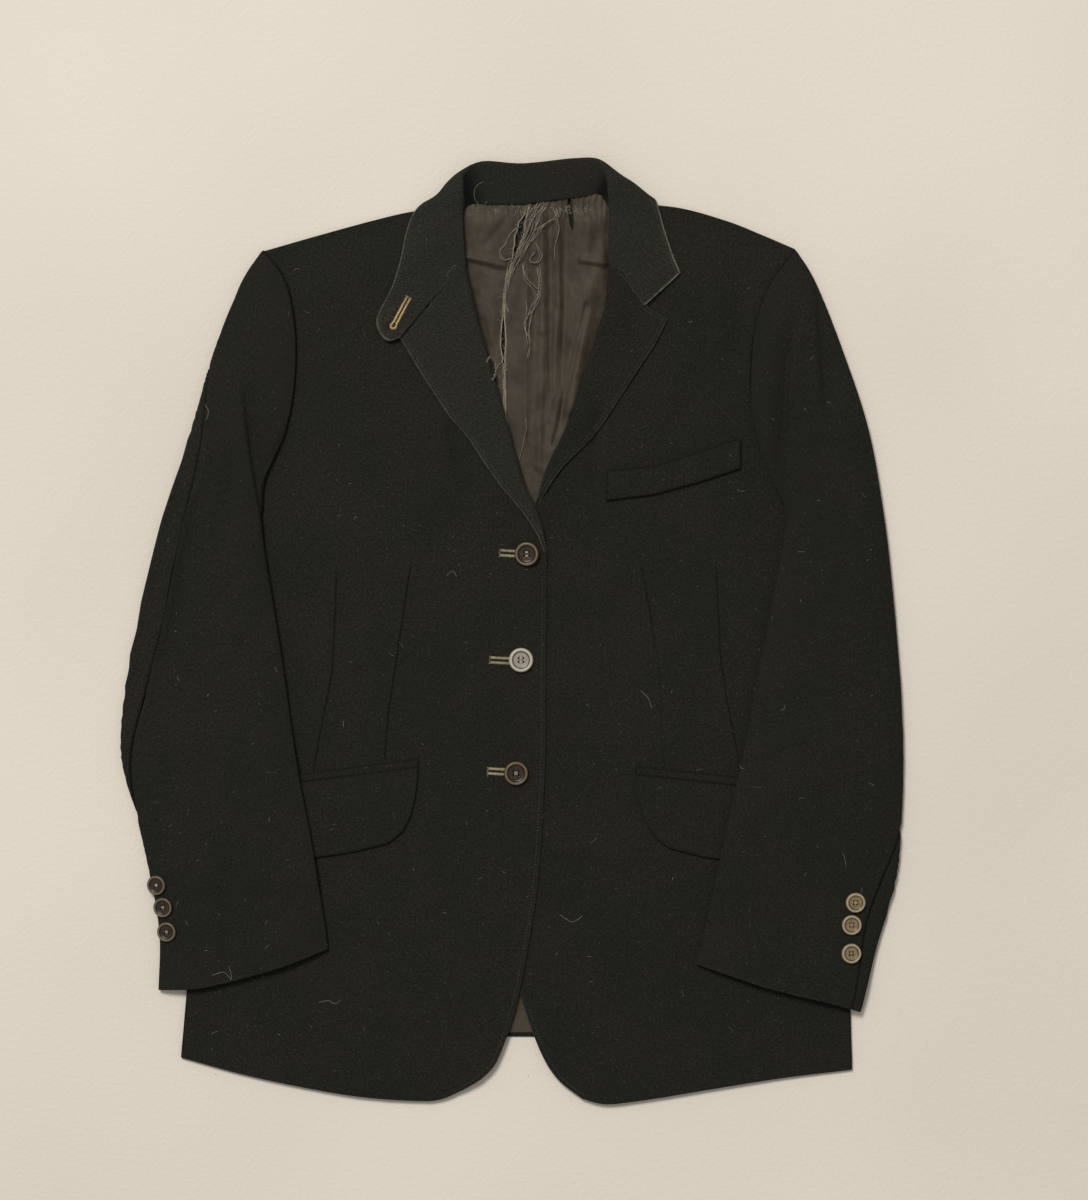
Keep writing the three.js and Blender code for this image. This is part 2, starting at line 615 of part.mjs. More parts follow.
/** Lapel: turned in below its roll line, round the roll, and out over the front. */
function lapel(lines, frontTop) {
  const { sections, columns, turn } = LAPEL_GRID;
  return wall(...thick(grid(sections, columns, (v, u) => {
    const y = sample(lines, 'y', v, false);
    const roll = sample(lines, 'roll', v, false);
    const edge = sample(lines, 'edge', v, false);
    const outward = Math.sign(edge - roll);
    const radius = THREE.MathUtils.lerp(ROLL_RADIUS, ROLL_RADIUS_LOW, v);
    const lowest = frontTop(roll, y) - CLOTH;
    const column = Math.round(u * columns);
    if (column === 0) {
      return new THREE.Vector3(roll + outward * LAPEL_LIP, y, lowest);
    }
    if (column <= turn) {
      const angle = Math.PI * (column - 1) / (turn - 1);
      const reach = radius * (1 - Math.sin(angle));
      return new THREE.Vector3(roll + outward * reach, y, lowest + radius * (1 - Math.cos(angle)));
    }
    const width = Math.abs(edge - roll);
    const reach = THREE.MathUtils.lerp(radius, width, (column - turn) / (columns - turn));
    const x = roll + outward * reach;
    const rest = frontTop(x, y) + SEAM_GAP + LAY_EASE + LAPEL_CLOTH;
    const raised = lowest + 2 * radius - (frontTop(roll, y) + SEAM_GAP + LAY_EASE + LAPEL_CLOTH);
    const sink = Math.exp(-(((reach - radius) / ROLL_REACH) ** 2));
    return new THREE.Vector3(x, y, rest + raised * sink);
  }), LAPEL_CLOTH, (lines[0].edge > lines[0].roll) ? 1 : -1));
}

/** Outer and inner grid of a wall whose thickness lies on one side of a grid. */
function thick(outer, thickness, side) {
  return [outer, offset(outer, -side * thickness)];
}

/** Collar: stand and fall in one, swept round the neck through the rows of its table. */
function collar() {
  const point = (name, v) => {
    const x = sample(COLLAR, `${name}X`, v);
    const y = sample(COLLAR, `${name}Y`, v);
    const onFront = sample(COLLAR, 'on', v, false);
    const front = x < 0 ? rightFrontTop(x, y) : leftFrontTop(x, y);
    return new THREE.Vector3(x, y, sample(COLLAR, `${name}Z`, v) + onFront * front);
  };
  const section = (v) => {
    const [seam, fold, mid, edge] = ['seam', 'fold', 'mid', 'edge'].map((name) => point(name, v));
    return new THREE.CatmullRomCurve3([seam, fold, mid, edge], false, 'centripetal');
  };
  const outer = grid(COLLAR_GRID.sections, COLLAR_GRID.columns, (v, u) => section(v).getPoint(u));
  outer.flat().forEach((at) => { at.z = Math.max(at.z, 0); });
  return wall(...thick(outer, COLLAR_CLOTH, 1));
}

/** Height of what a sleeve lies on: the table, then up over the body's side and the hip pocket. */
function sleeveRest(side, body, x, y) {
  const underarm = body[UNDERARM_ROW].sideY;
  const sideSeam = lookUp(body.slice(UNDERARM_ROW), 'sideY', 'sideX', y);
  const seam = sideSeam - side * Math.max(0, y - underarm) * UNDERARM_SLOPE;
  const inside = (seam - x) * side;
  const abovePocket = smooth(y, POCKET_TOP, POCKET_TOP + POCKET_RAMP);
  const pocketPart = smooth(y, POCKET_BOTTOM - POCKET_RAMP, POCKET_BOTTOM) * (1 - abovePocket);
  const pocket = (SEAM_GAP + LAY_EASE + FLAP_CLOTH) * pocketPart;
  const under = Math.max(leftFrontTop(x, y), leftFrontTop(seam, y));
  return (under + SEAM_GAP + LAY_EASE + pocket) * smooth(inside, -2 * SLEEVE_RAMP, -SLEEVE_RAMP);
}

/** Rounding of a sleeve's edge: 0 at the edge, 1 from one radius inwards. */
const rounding = (share) => Math.sqrt(1 - (1 - Math.min(1, share)) ** 2);

/** Point of a sleeve's surface: 'along' from armhole to cuff, 'round' from 0 at the outer edge over the top
 *  to 1 at the inner edge, and on under the sleeve to 2. Just below 0 it is under the outer edge. */
function sleevePoint(sleeve, along, round) {
  const across = round > 1 ? Math.abs(2 - round) : Math.abs(round);
  const onTop = (round >= 0 && round <= 1) || round > 2;
  const outer = rowPoint(sleeve.rows, 'outer', along);
  const inner = rowPoint(sleeve.rows, 'inner', along);
  const place = outer.clone().lerp(inner, across);
  const first = rowPoint(sleeve.rows, 'outer', 0).lerp(rowPoint(sleeve.rows, 'inner', 0), across);
  const last = rowPoint(sleeve.rows, 'outer', 1).lerp(rowPoint(sleeve.rows, 'inner', 1), across);
  place.addScaledVector(curvePoint(sleeve.armhole, across).sub(first), 1 - smooth(along, 0, ARMHOLE_BEND));
  place.addScaledVector(curvePoint(sleeve.cuff, across).sub(last), smooth(along, 1 - CUFF_BEND, 1));
  const width = outer.distanceTo(inner);
  const fromEdge = Math.min(across, 1 - across) * width;
  const restAt = (point) => sleeveRest(sleeve.side, sleeve.body, point.x, point.y);
  const outerRest = restAt(outer);
  const innerRest = restAt(inner);
  const evenRest = THREE.MathUtils.lerp(outerRest, innerRest, across);
  const height = sample(sleeve.rows, 'height', along) - SLEEVE_PRESS * evenRest;
  const middle = SLEEVE_MIDDLE * height;
  if (!onTop) {
    const rest = fromEdge > 0 ? restAt(place) : evenRest;
    const nearEdge = 1 - rounding(fromEdge / SLEEVE_EDGE);
    return new THREE.Vector3(place.x, place.y, THREE.MathUtils.lerp(rest, evenRest + middle, nearEdge));
  }
  const crown = (height - middle) * rounding(fromEdge / (SLEEVE_CROWN * width));
  const trough = Math.min(troughs(SLEEVE_TROUGHS, place.x, place.y), LEAST_CROWN * crown);
  return new THREE.Vector3(place.x, place.y, evenRest + middle + crown - trough);
}

/** Outward direction of a sleeve's surface. */
function sleeveNormal(sleeve, along, round) {
  const end = Math.min(along + NORMAL_STEP, 1);
  const start = Math.max(along - NORMAL_STEP, 0);
  const before = round - NORMAL_STEP;
  const after = round + NORMAL_STEP;
  const down = sleevePoint(sleeve, end, round).sub(sleevePoint(sleeve, start, round));
  const over = sleevePoint(sleeve, along, after).sub(sleevePoint(sleeve, along, before));
  return down.cross(over).normalize().multiplyScalar(-sleeve.side);
}

/** Wall of a sleeve piece: its rounds are given for each section, from one seam to the other. */
function sleeveWall(sleeve, columns, roundAt) {
  const places = grid(SLEEVE_GRID.sections, columns, (along, u) => ({ along, round: roundAt(along, u) }));
  const outer = places.map((row) => row.map(({ along, round }) => sleevePoint(sleeve, along, round)));
  const inner = places.map((row, r) => row.map(({ along, round }, c) => (
    outer[r][c].clone().addScaledVector(sleeveNormal(sleeve, along, round), -CLOTH))));
  return wall(outer, inner);
}

/** Top sleeve: from the hind-arm seam over the top to the forearm seam at the inner edge. */
function topSleeve(sleeve) {
  return sleeveWall(sleeve, SLEEVE_GRID.top, (along, u) => {
    const eased = (1 - Math.cos(Math.PI * u)) / 2;
    return THREE.MathUtils.lerp(sample(sleeve.rows, 'seam', along), 1, eased);
  });
}

/** Under sleeve: from the forearm seam under the sleeve and round its outer edge to the hind-arm seam. */
function underSleeve(sleeve) {
  const { under, outerTurn, nearOuter, evenShare } = SLEEVE_GRID;
  return sleeveWall(sleeve, under + outerTurn, (along, u) => {
    const column = Math.round(u * (under + outerTurn));
    if (column <= under) {
      const share = column / under;
      const eased = THREE.MathUtils.lerp(1 - Math.cos(Math.PI / 2 * share), share, evenShare);
      return THREE.MathUtils.lerp(1 + SEAM_PLACE, nearOuter, eased);
    }
    const seam = 2 + sample(sleeve.rows, 'seam', along) - SEAM_PLACE;
    return THREE.MathUtils.lerp(nearOuter, seam, (column - under) / outerTurn);
  });
}

/** Four-hole button, turned: a flat back, a rounded rim and a dished middle. */
function buttonGeometry(radius) {
  const profile = [
    [0, 0],
    [BUTTON_FOOT, 0],
    [1, 0.1],
    [1, 0.24],
    [0.92, 0.33],
    [0.78, 0.3],
    [0.66, 0.21],
    [0, 0.21],
  ].map(([across, up]) => new THREE.Vector2(across * radius, up * radius));
  const geometry = new THREE.LatheGeometry(profile, 12);
  return geometry.rotateX(Math.PI / 2);
}

const wasm = await Module();
wasm.setup();

/** A closed solid for cutting, from a geometry. */
function solid(geometry) {
  const bare = geometry.index ? geometry.clone() : mergedPositions(geometry);
  bare.deleteAttribute('normal');
  bare.deleteAttribute('uv');
  return new wasm.Manifold(new wasm.Mesh({
    numProp: 3,
    vertProperties: new Float32Array(bare.attributes.position.array),
    triVerts: new Uint32Array(bare.index.array),
  }));
}

/** The same triangles with equal points made one. */
function mergedPositions(geometry) {
  const keys = new Map();
  const points = [];
  const index = [];
  const position = geometry.attributes.position;
  for (let i = 0; i < position.count; i += 1) {
    const point = new THREE.Vector3().fromBufferAttribute(position, i);
    const key = point.toArray().map((value) => value.toFixed(4)).join();
    if (!keys.has(key)) {
      keys.set(key, points.length);
      points.push(point);
    }
    index.push(keys.get(key));
  }
  const merged = new THREE.BufferGeometry().setFromPoints(points);
  merged.setIndex(index);
  return merged;
}

/** Geometry of a cut solid. */
function geometryOf(manifold) {
  const mesh = manifold.getMesh();
  const geometry = new THREE.BufferGeometry();
  geometry.setAttribute('position', new THREE.BufferAttribute(new Float32Array(mesh.vertProperties), 3));
  geometry.setIndex(new THREE.BufferAttribute(new Uint32Array(mesh.triVerts), 1));
  return geometry;
}

/** Lining of the neck opening, with the rip cut through as a pointed oval. */
function neckLining() {
  const { x0, y0, x1, y1, width } = LINING_RIP;
  const length = Math.hypot(x1 - x0, y1 - y0);
  const oval = new THREE.Shape();
  oval.moveTo(0, 0);
  oval.quadraticCurveTo(length / 2, width, length, 0);
  oval.quadraticCurveTo(length / 2, -width, 0, 0);
  const cutter = new THREE.ExtrudeGeometry(oval, { depth: 30, bevelEnabled: false, curveSegments: 6 });
  cutter.rotateZ(Math.atan2(y1 - y0, x1 - x0)).translate(x0, y0, -5);
  const whole = solid(liningPatch(14, 20, NECK_LINING, LINING_FOLDS));
  return geometryOf(whole.subtract(solid(cutter)));
}

const coat = new THREE.Group();

/** Adds a named piece with its own material. */
function add(name, geometry, finish) {
  const material = new THREE.MeshStandardMaterial({ ...finish, metalness: 0 });
  const mesh = new THREE.Mesh(geometry, material);
  mesh.name = name;
  coat.add(mesh);
  return mesh;
}

const SLEEVES = {
  right: {
    side: -1, rows: RIGHT_SLEEVE, armhole: RIGHT_ARMHOLE, cuff: RIGHT_CUFF, body: RIGHT_FRONT,
  },
  left: {
    side: 1, rows: LEFT_SLEEVE, armhole: LEFT_ARMHOLE, cuff: LEFT_CUFF, body: LEFT_FRONT,
  },
};

add('back', backPanel(), WOOL);
add('front_left', frontPanel(LEFT_FRONT, LEFT_SHOULDER, LEFT_HEM, leftFrontTop), WOOL);
add('front_right', frontPanel(RIGHT_FRONT, RIGHT_SHOULDER, RIGHT_HEM, rightFrontTop), WOOL);
add('back_lining_neck', neckLining(), LINING);
add('back_lining_hem', liningPatch(2, 3, HEM_LINING, []), LINING);
add('lapel_left', lapel(LEFT_LAPEL, leftFrontTop), WOOL);
add('lapel_right', lapel(RIGHT_LAPEL, rightFrontTop), COLLAR_WOOL);
add('collar', collar(), COLLAR_WOOL);
add('breast_welt', patch(5, 2, BREAST_WELT, leftFrontTop, WELT_CLOTH), WOOL);
add('pocket_jetting_right', patch(6, 1, RIGHT_JETTING, rightFrontTop, JETTING_CLOTH), WOOL);
add('pocket_jetting_left', patch(6, 1, LEFT_JETTING, leftFrontTop, JETTING_CLOTH), WOOL);
add('pocket_flap_right', patch(14, 4, RIGHT_FLAP, rightFrontTop, FLAP_CLOTH), WOOL);
add('pocket_flap_left', patch(14, 4, LEFT_FLAP, leftFrontTop, FLAP_CLOTH), WOOL);
for (const [name, sleeve] of Object.entries(SLEEVES)) {
  add(`sleeve_top_${name}`, topSleeve(sleeve), WOOL);
  add(`sleeve_under_${name}`, underSleeve(sleeve), WOOL);
}

for (const { name, x, y, tiltX, tiltY } of FRONT_BUTTONS) {
  const finish = name === 'front_button_middle' ? GREY_BUTTON : DARK_BUTTON;
  const button = add(name, buttonGeometry(FRONT_BUTTON_RADIUS), finish);
  const lift = BUTTON_FOOT * FRONT_BUTTON_RADIUS * Math.hypot(tiltX, tiltY);
  button.position.set(x, y, rightFrontTop(x, y) + SEAM_GAP + lift);
  button.rotation.set(tiltX, tiltY, 0);
}
for (const { name, sleeve, along, across, rise } of CUFF_BUTTONS) {
  const piece = SLEEVES[sleeve];
  const finish = sleeve === 'left' ? GREY_BUTTON : DARK_BUTTON;
  const button = add(name, buttonGeometry(CUFF_BUTTON_RADIUS), finish);
  const seat = sleevePoint(piece, along, across);
  const normal = sleeveNormal(piece, along, across);
  button.quaternion.setFromUnitVectors(new THREE.Vector3(0, 0, 1), normal);
  button.position.copy(seat).addScaledVector(normal, SEAM_GAP + rise);
}

export default coat;
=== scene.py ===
"""Riding coat, buttoned and laid flat on its back, seen straight from above.

Sizes are millimetres, as on the coat's pattern, and turn into metres where a mesh is made. +Y points to the
collar and "right" and "left" are the wearer's: the right front lies at -X and laps over the left one.
Every piece of cloth is a thin shell: its upper side is a height or a point worked out for each place of a
grid, and its lower side lies one thickness of cloth below.
"""
from __future__ import annotations

import logging
import math
from dataclasses import dataclass
from enum import Enum
from typing import Callable, Sequence

import bpy
import numpy as np
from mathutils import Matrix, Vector
from mathutils.bvhtree import BVHTree


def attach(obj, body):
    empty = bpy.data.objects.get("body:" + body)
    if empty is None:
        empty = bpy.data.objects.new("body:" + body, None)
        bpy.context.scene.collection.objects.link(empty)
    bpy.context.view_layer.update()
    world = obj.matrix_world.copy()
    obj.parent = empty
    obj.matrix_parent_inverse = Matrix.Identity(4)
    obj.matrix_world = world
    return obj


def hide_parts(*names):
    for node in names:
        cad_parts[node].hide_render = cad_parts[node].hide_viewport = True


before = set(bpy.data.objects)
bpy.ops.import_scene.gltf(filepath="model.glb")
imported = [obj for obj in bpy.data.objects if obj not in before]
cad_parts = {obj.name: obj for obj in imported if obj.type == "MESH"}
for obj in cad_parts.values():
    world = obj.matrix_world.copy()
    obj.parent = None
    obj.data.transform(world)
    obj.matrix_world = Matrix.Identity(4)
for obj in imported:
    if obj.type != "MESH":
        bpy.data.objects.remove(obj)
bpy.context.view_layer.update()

log = logging.getLogger("riding_coat")
Array = np.ndarray
Piece = bpy.types.Object
Socket = bpy.types.NodeSocket
Height = Callable[[Array, Array], Array]
MM = 0.001

# Driving dimensions in millimetres, or shares. Those of the cloth, the rolls and the buttons are as in the
# coat's solids, apart from the lining, which is thinner here
CLOTH = 1.6
SEAM_GAP = 0.3         # between pieces that meet in a seam
LAPEL_CLOTH = 2.0
COLLAR_CLOTH = 2.0
LINING_CLOTH = 0.6
FLAP_CLOTH = 2.0
JETTING_CLOTH = 1.4
WELT_CLOTH = 2.4
ROLL_RADIUS = 3.4      # of the lapels' fold, at their upper end
ROLL_RADIUS_LOW = 2.3
LAPEL_LIP = 3.2        # how far a lapel goes on under its roll
ROLL_REACH = 16.0      # how far from the roll a lapel lies down on the front
NECK_LIFT = 2.5        # of the back over the folded collar
OVERLAP_RAMP = 24.0    # over which the right front climbs on the left one
SLEEVE_RAMP = 12.0     # over which a sleeve climbs on the body
SLEEVE_EDGE = 6.0      # width of the rounding below a sleeve's edges
SLEEVE_CROWN = 0.34    # share of a sleeve's width over which its upper side rises
LAY_EASE = 0.3         # air below cloth that lies on cloth
SEAM_PLACE = 0.008     # gap between the pieces of a sleeve, as a share of its width
FRONT_BUTTON_RADIUS = 9.75
CUFF_BUTTON_RADIUS = 8.0
STITCH_INSET = 3.0     # of the topstitching from every turned edge
PAINTED_SEAM_SHADE = 0.55      # painted shade in the seams, as wear below zero
# Width of the painted shade in the seams
PAINTED_SHADE_WIDTH = 0.7
LOWER_WEAR = 0.3       # share of the wear that also reaches the lower side
PANEL_WEAR = 0.12      # how pale the edges of the fronts and the cuffs have worn
PANEL_WEAR_WIDTH = 0.8
RIM_STEPS = 3          # rings of points round a shell's rim
RIM_BULGE = 0.66       # of the rim, in halves of the cloth
TUBE_END = 0.33        # radius of a tube's ends, as a share of its own


def smooth(value: Array, start: float, end: float) -> Array:
    """Rises softly from 0 at start to 1 at end."""
    share = np.clip((value - start) / (end - start), 0.0, 1.0)
    return share * share * (3.0 - 2.0 * share)


def mix(start: Array, end: Array, share: Array) -> Array:
    """Goes straight from start to end as share goes from 0 to 1."""
    return start + (end - start) * share


def bell(distance: Array, width: float) -> Array:
    """Falls from 1 at no distance: the exponential of minus the square of distance / width."""
    return np.exp(-((distance / width) ** 2))


def quarter_ellipse(share: Array) -> Array:
    """Rises as a quarter of an ellipse from 0 to 1, as share goes from 0 to 1, and stays there."""
    return np.sqrt(np.maximum(0.0, 1.0 - (1.0 - np.minimum(1.0, share)) ** 2))


def unit(vectors: Array) -> Array:
    """Vectors of length 1 in the same directions."""
    return vectors / np.maximum(np.linalg.norm(vectors, axis=-1, keepdims=True), 1e-9)


def lengths_across(grid: Array) -> Array:
    """Length along each row of a grid of points, from its first point to every other."""
    return np.cumsum(np.linalg.norm(np.diff(grid, axis=1, prepend=grid[:, :1]), axis=-1), axis=1)


def bunched(count: int, strength: float = 0.75) -> Array:
    """Places from 0 to 1 that lie closer together at both ends: t less a sine of one full turn.

    Args:
        count: how many steps there are.
        strength: 0 for even steps, towards 1 for very close ones at the ends.

    Returns:
        count + 1 places.
    """
    t = np.linspace(0.0, 1.0, count + 1)
    return t - strength * np.sin(2.0 * math.pi * t) / (2.0 * math.pi)


@dataclass(frozen=True)
class Table:
    """Rows of numbers with named columns."""

    names: str
    rows: tuple[tuple[float, ...], ...]

    def column(self, name: str) -> Array:
        """All values of a column."""
        return np.array(self.rows, float)[:, self.names.split().index(name)]

    def straight(self, name: str, place: Array) -> Array:
        """Value at a place from 0 to 1 along the rows, straight between them."""
        values = self.column(name)
        return np.interp(np.clip(place, 0.0, 1.0) * (len(values) - 1), np.arange(len(values)), values)

    def rounded(self, name: str, place: Array) -> Array:
        """Value at a place from 0 to 1 along the rows, on a cubic with half the step between its neighbours
        as the slope at each row.
        """
        values = self.column(name)
        slopes = np.gradient(values)
        at = np.clip(np.asarray(place, float), 0.0, 1.0) * (len(values) - 1)
        i = np.minimum(at.astype(int), len(values) - 2)
        f = at - i
        step = values[i + 1] - values[i]
        low, high = slopes[i], slopes[i + 1]
        return values[i] + f * (low + f * (3 * step - 2 * low - high + f * (low + high - 2 * step)))

    def at_level(self, name: str, value: Array, key: str = "y") -> Array:
        """Value of a column where another one, which falls or rises all the way, has a given value."""
        keys, values = self.column(key), self.column(name)
        if keys[-1] < keys[0]:
            keys, values = keys[::-1], values[::-1]
        return np.interp(value, keys, values)

    def point(self, prefix: str, place: Array) -> Array:
        """Rounded plan point from the columns prefixX and prefixY, or x and y where there is no prefix."""
        names = ("x", "y") if not prefix else (prefix + "X", prefix + "Y")
        return np.stack([self.rounded(name, place) for name in names], axis=-1)

    def below(self, first: int) -> Table:
        """The rows from a row onwards."""
        return Table(self.names, self.rows[first:])


FRONT = "sideX sideY edgeX edgeY"
RIGHT_FRONT = Table(FRONT, (
    (-198, 304, -57.2, 336.8), (-180.4, 280.8, -50, 315.2), (-173.2, 248.8, -40.4, 288.8),
    (-172.4, 215.2, -31.6, 250.4), (-176.4, 183.2, -21.2, 212.8), (-184.4, 152.8, -10.8, 176.8),
    (-204.4, 129.6, -1.2, 140), (-210.4, 95.2, 10.8, 107.2), (-215.6, 56.8, 26, 68.8),
    (-225.2, 16.8, 27.6, 24.8), (-230.8, -39.2, 26.8, -39.2), (-238.8, -91.2, 26.8, -95.2),
    (-246, -143.2, 24.4, -151.2), (-252.4, -199.2, 20.4, -203.2), (-256.4, -251.2, 13.2, -251.2),
    (-260.4, -295.2, 2.8, -301.6), (-262.8, -323.2, -10.8, -341.6),
    (-263.7, -332.8, -22.6, -357), (-264.4, -341.6, -38, -367.2)))
RIGHT_SHOULDER = Table("x y", ((-198, 304), (-153.2, 316.8), (-112.4, 328), (-81.2, 335.2), (-57.2, 336.8)))
RIGHT_HEM = Table("x y", ((-264.4, -341.6), (-217.2, -354.4), (-169.2, -364.8), (-121.2, -372.8),
                          (-77.2, -376), (-56.8, -375), (-38, -367.2)))
LEFT_FRONT = Table(FRONT, (
    (226.8, 305.6, 96.4, 341.6), (206.8, 276.8, 88.4, 316.8), (196.4, 248.8, 83.2, 288.8),
    (191.6, 215.2, 76.8, 250.4), (192.4, 183.2, 63.6, 211.2), (198.8, 152.8, 54, 176.8),
    (215.6, 123.8, 37.2, 140.8), (224, 95.2, 22.8, 104.8), (228.4, 56.8, -5.2, 68.8),
    (237.2, 16.8, -11.6, 24.8), (242, -39.2, -11.6, -39.2), (249.2, -91.2, -11.6, -95.2),
    (259.6, -143.2, -11.6, -151.2), (264.4, -199.2, -10.8, -203.2), (268.4, -251.2, -2.8, -253.6),
    (270.8, -295.2, 10, -299.2), (271.6, -323.2, 23.6, -336.8),
    (272.1, -337.6, 37.2, -358.8), (272.4, -351.2, 56.4, -374.4)))
LEFT_SHOULDER = Table("x y", ((226.8, 305.6), (198.8, 317.6), (172.4, 328), (134.8, 338.4), (96.4, 341.6)))
LEFT_HEM = Table("x y", ((272.4, -351.2), (218.8, -357.6), (166.8, -365.6), (118.8, -373.6),
                         (82.8, -378.4), (69.2, -378), (56.4, -374.4)))
BACK_TOP = Table("x y", ((-198, 304), (-129.2, 322.4), (-57.2, 336.8), (6.8, 338.4), (70.8, 342.4),
                         (110.8, 341.6), (170.8, 327.2), (226.8, 305.6)))
BACK_HEM = Table("x y", ((-264.4, -341.6), (-169.2, -332), (-73.2, -327.2), (14.8, -324.8),
                         (110.8, -329.6), (198.8, -340), (272.4, -351.2)))
LOFT = Table("y height halfWidth", (
    (-383.2, 2.0, 264), (-295.2, 2.4, 258), (-135.2, 4.0, 245), (-39.2, 5.2, 230), (24.8, 6.0, 225),
    (120.8, 7.0, 206), (184.8, 7.2, 232), (264.8, 7.0, 237), (384.8, 6.0, 237)))
FOLD = "x0 y0 x1 y1 width depth"
FRONT_TROUGHS = Table(FOLD, (
    (-46, 158, -31, 112, 6, 3.6), (67.8, 168.8, 67.6, 50.8, 5, 3.0), (58, 150, 57, 70, 10, 1.8),
    (186.8, 304.8, 181.2, 216.8, 11, 2.2), (-145.2, 8.8, -93.2, 24.8, 14, 1.2),
    (38.8, -247.2, 102.8, -303.2, 16, 1.0), (44, 100, 30, 20, 10, 1.6), (150, 200, 130, 160, 10, 1.2),
    (98, 250, 108, 180, 9, 1.2), (-170, 40, -164, -60, 12, 1.4)))
# Lesser creases that only show close by: pulls at the buttons, drag lines below the chest and at the hem
FINE_CREASES = Table(FOLD, (
    (-6, 52, -74, 22, 5, 0.5), (-10, 66, -60, 84, 6, 0.5), (-12, -30, -70, -48, 5, 0.4),
    (-14, -118, -80, -136, 6, 0.4), (36, 60, 92, 30, 6, 0.5), (36, -20, 84, -40, 6, 0.4),
    (-160, 250, -150, 150, 8, 0.6), (-120, 290, -90, 230, 9, 0.5), (150, 250, 168, 190, 7, 0.5),
    (-190, 60, -150, -10, 7, 0.5), (196, 60, 176, 10, 7, 0.5), (-210, -220, -196, -320, 9, 0.6),
    (-120, -210, -128, -330, 10, 0.5), (210, -230, 200, -320, 9, 0.6), (140, -220, 150, -330, 10, 0.5),
    (-40, -200, -20, -300, 8, 0.4), (60, -190, 52, -280, 8, 0.5), (110, 130, 60, 70, 7, 0.4)))
RIGHT_LAPEL = Table("y edge roll", (
    (291.6, -46, -36.6), (280.4, -55, -34), (269, -62.5, -31), (259.2, -65.5, -29), (251.5, -76.5, -27.4),
    (240, -92.4, -24.4), (229.6, -86, -21.2), (201.6, -69.2, -13.2), (171.2, -49.2, -4.4),
    (152.8, -33.2, 0.4), (134, -21.2, 5.4), (116.8, -9.2, 10.4), (104.8, 0.8, 16.6), (95.2, 8.8, 21),
    (86, 15.4, 24.2), (76, 21.4, 26.6), (66, 25.4, 28), (57, 27.4, 28.6)))
LEFT_LAPEL = Table("y edge roll", (
    (289.6, 87.4, 77), (278, 97, 76.4), (266, 106, 75.4), (258.4, 108.6, 74.6), (249.6, 124.4, 71.6),
    (231.2, 115.6, 66), (198.4, 94, 55.6), (168.8, 74.8, 46.8), (152.8, 62.8, 38.8), (132, 41.2, 28.4),
    (117.6, 30.8, 23.8), (106, 24.2, 20.8), (98.4, 20.8, 19.4)))
COLLAR = Table("seamX seamY seamZ foldX foldY foldZ midX midY midZ edgeX edgeY edgeZ on", (
    (-40.4, 295.2, -1.6, -36, 294.8, 1.8, -64.4, 264.4, 4.2, -89.2, 234.4, 5.3, 1),
    (-40.4, 296.4, -1.6, -36.4, 296, 1.8, -64.8, 268, 3.8, -98, 232, 5.2, 1),
    (-41.2, 298.8, -1.6, -36.8, 298.4, 1.8, -66, 270.4, 3.8, -104.4, 237.6, 4.8, 1),
    (-42, 302, -1.6, -37.2, 301.6, 1.8, -66.8, 274.4, 3.6, -107.6, 247.2, 4.0, 1),
    (-42.8, 305.6, -1.6, -37.6, 305.6, 1.9, -67.6, 278.4, 3.2, -104.4, 257.6, 3.0, 1),
    (-42.8, 312.8, -1.5, -38, 312.8, 2.2, -65.2, 290.4, 3.4, -95.6, 274.4, 2.4, 1),
    (-42.8, 322.4, -1.0, -38.4, 322.4, 3.2, -62.8, 307.2, 4.2, -88.4, 297.6, 2.4, 1),
    (-40.4, 333.6, -0.6, -38.8, 337.6, 5.6, -60.4, 324, 5.6, -84.4, 318.4, 2.6, 1),
    (-36.6, 338, 5.6, -39.4, 348, 13.8, -60.4, 339.2, 11, -77.2, 336, 8.6, 0),
    (-33.6, 341, 5.4, -40, 357, 14.2, -56.4, 351.4, 9, -65.2, 345.6, 5.0, 0),
    (-28.6, 342.2, 5.6, -39, 367.6, 12.4, -48.4, 360.4, 4.6, -50.8, 343.2, 0, 0),
    (-17.2, 342.4, 6.8, -22.8, 376, 7.4, -22, 359.2, 0, -22, 332, 0, 0),
    (9.2, 342.4, 7.2, 9.2, 374.4, 6.6, 9.2, 356.8, 0, 9.2, 327.2, 0, 0),
    (42.8, 346.4, 7.0, 50.8, 378.4, 8.2, 52.4, 360, 0, 53.2, 332, 0, 0),
    (58.8, 347.8, 5.8, 70, 376.8, 11.6, 78.8, 366.4, 2.0, 82, 343.2, 0, 0),
    (69.5, 350, 5.4, 77, 364, 14.2, 92.4, 362.4, 6.4, 101.2, 348, 1.4, 0),
    (74.6, 344.6, 5.4, 78, 351.2, 14, 98, 355.2, 10.2, 114, 346.4, 7.6, 0),
    (79.6, 333.6, -0.6, 78, 337.6, 5.8, 98, 340, 5.6, 118, 336, 3.3, 1),
    (81.2, 322.4, -1.0, 77.6, 322.4, 3.2, 99.6, 320.8, 4.2, 122, 321.6, 2.4, 1),
    (81.2, 309.6, -1.5, 77.2, 309.6, 2.2, 102, 299.2, 3.4, 126.8, 306.4, 2.3, 1),
    (81.2, 302.4, -1.6, 77.2, 302.4, 1.8, 104.4, 276.6, 3.7, 130.8, 295.2, 2.6, 1),
    (81.2, 296, -1.6, 77.6, 295.6, 1.8, 106.2, 260.2, 4.2, 134.8, 286.4, 2.6, 1)))
SLEEVE = "outerX outerY innerX innerY height seam"
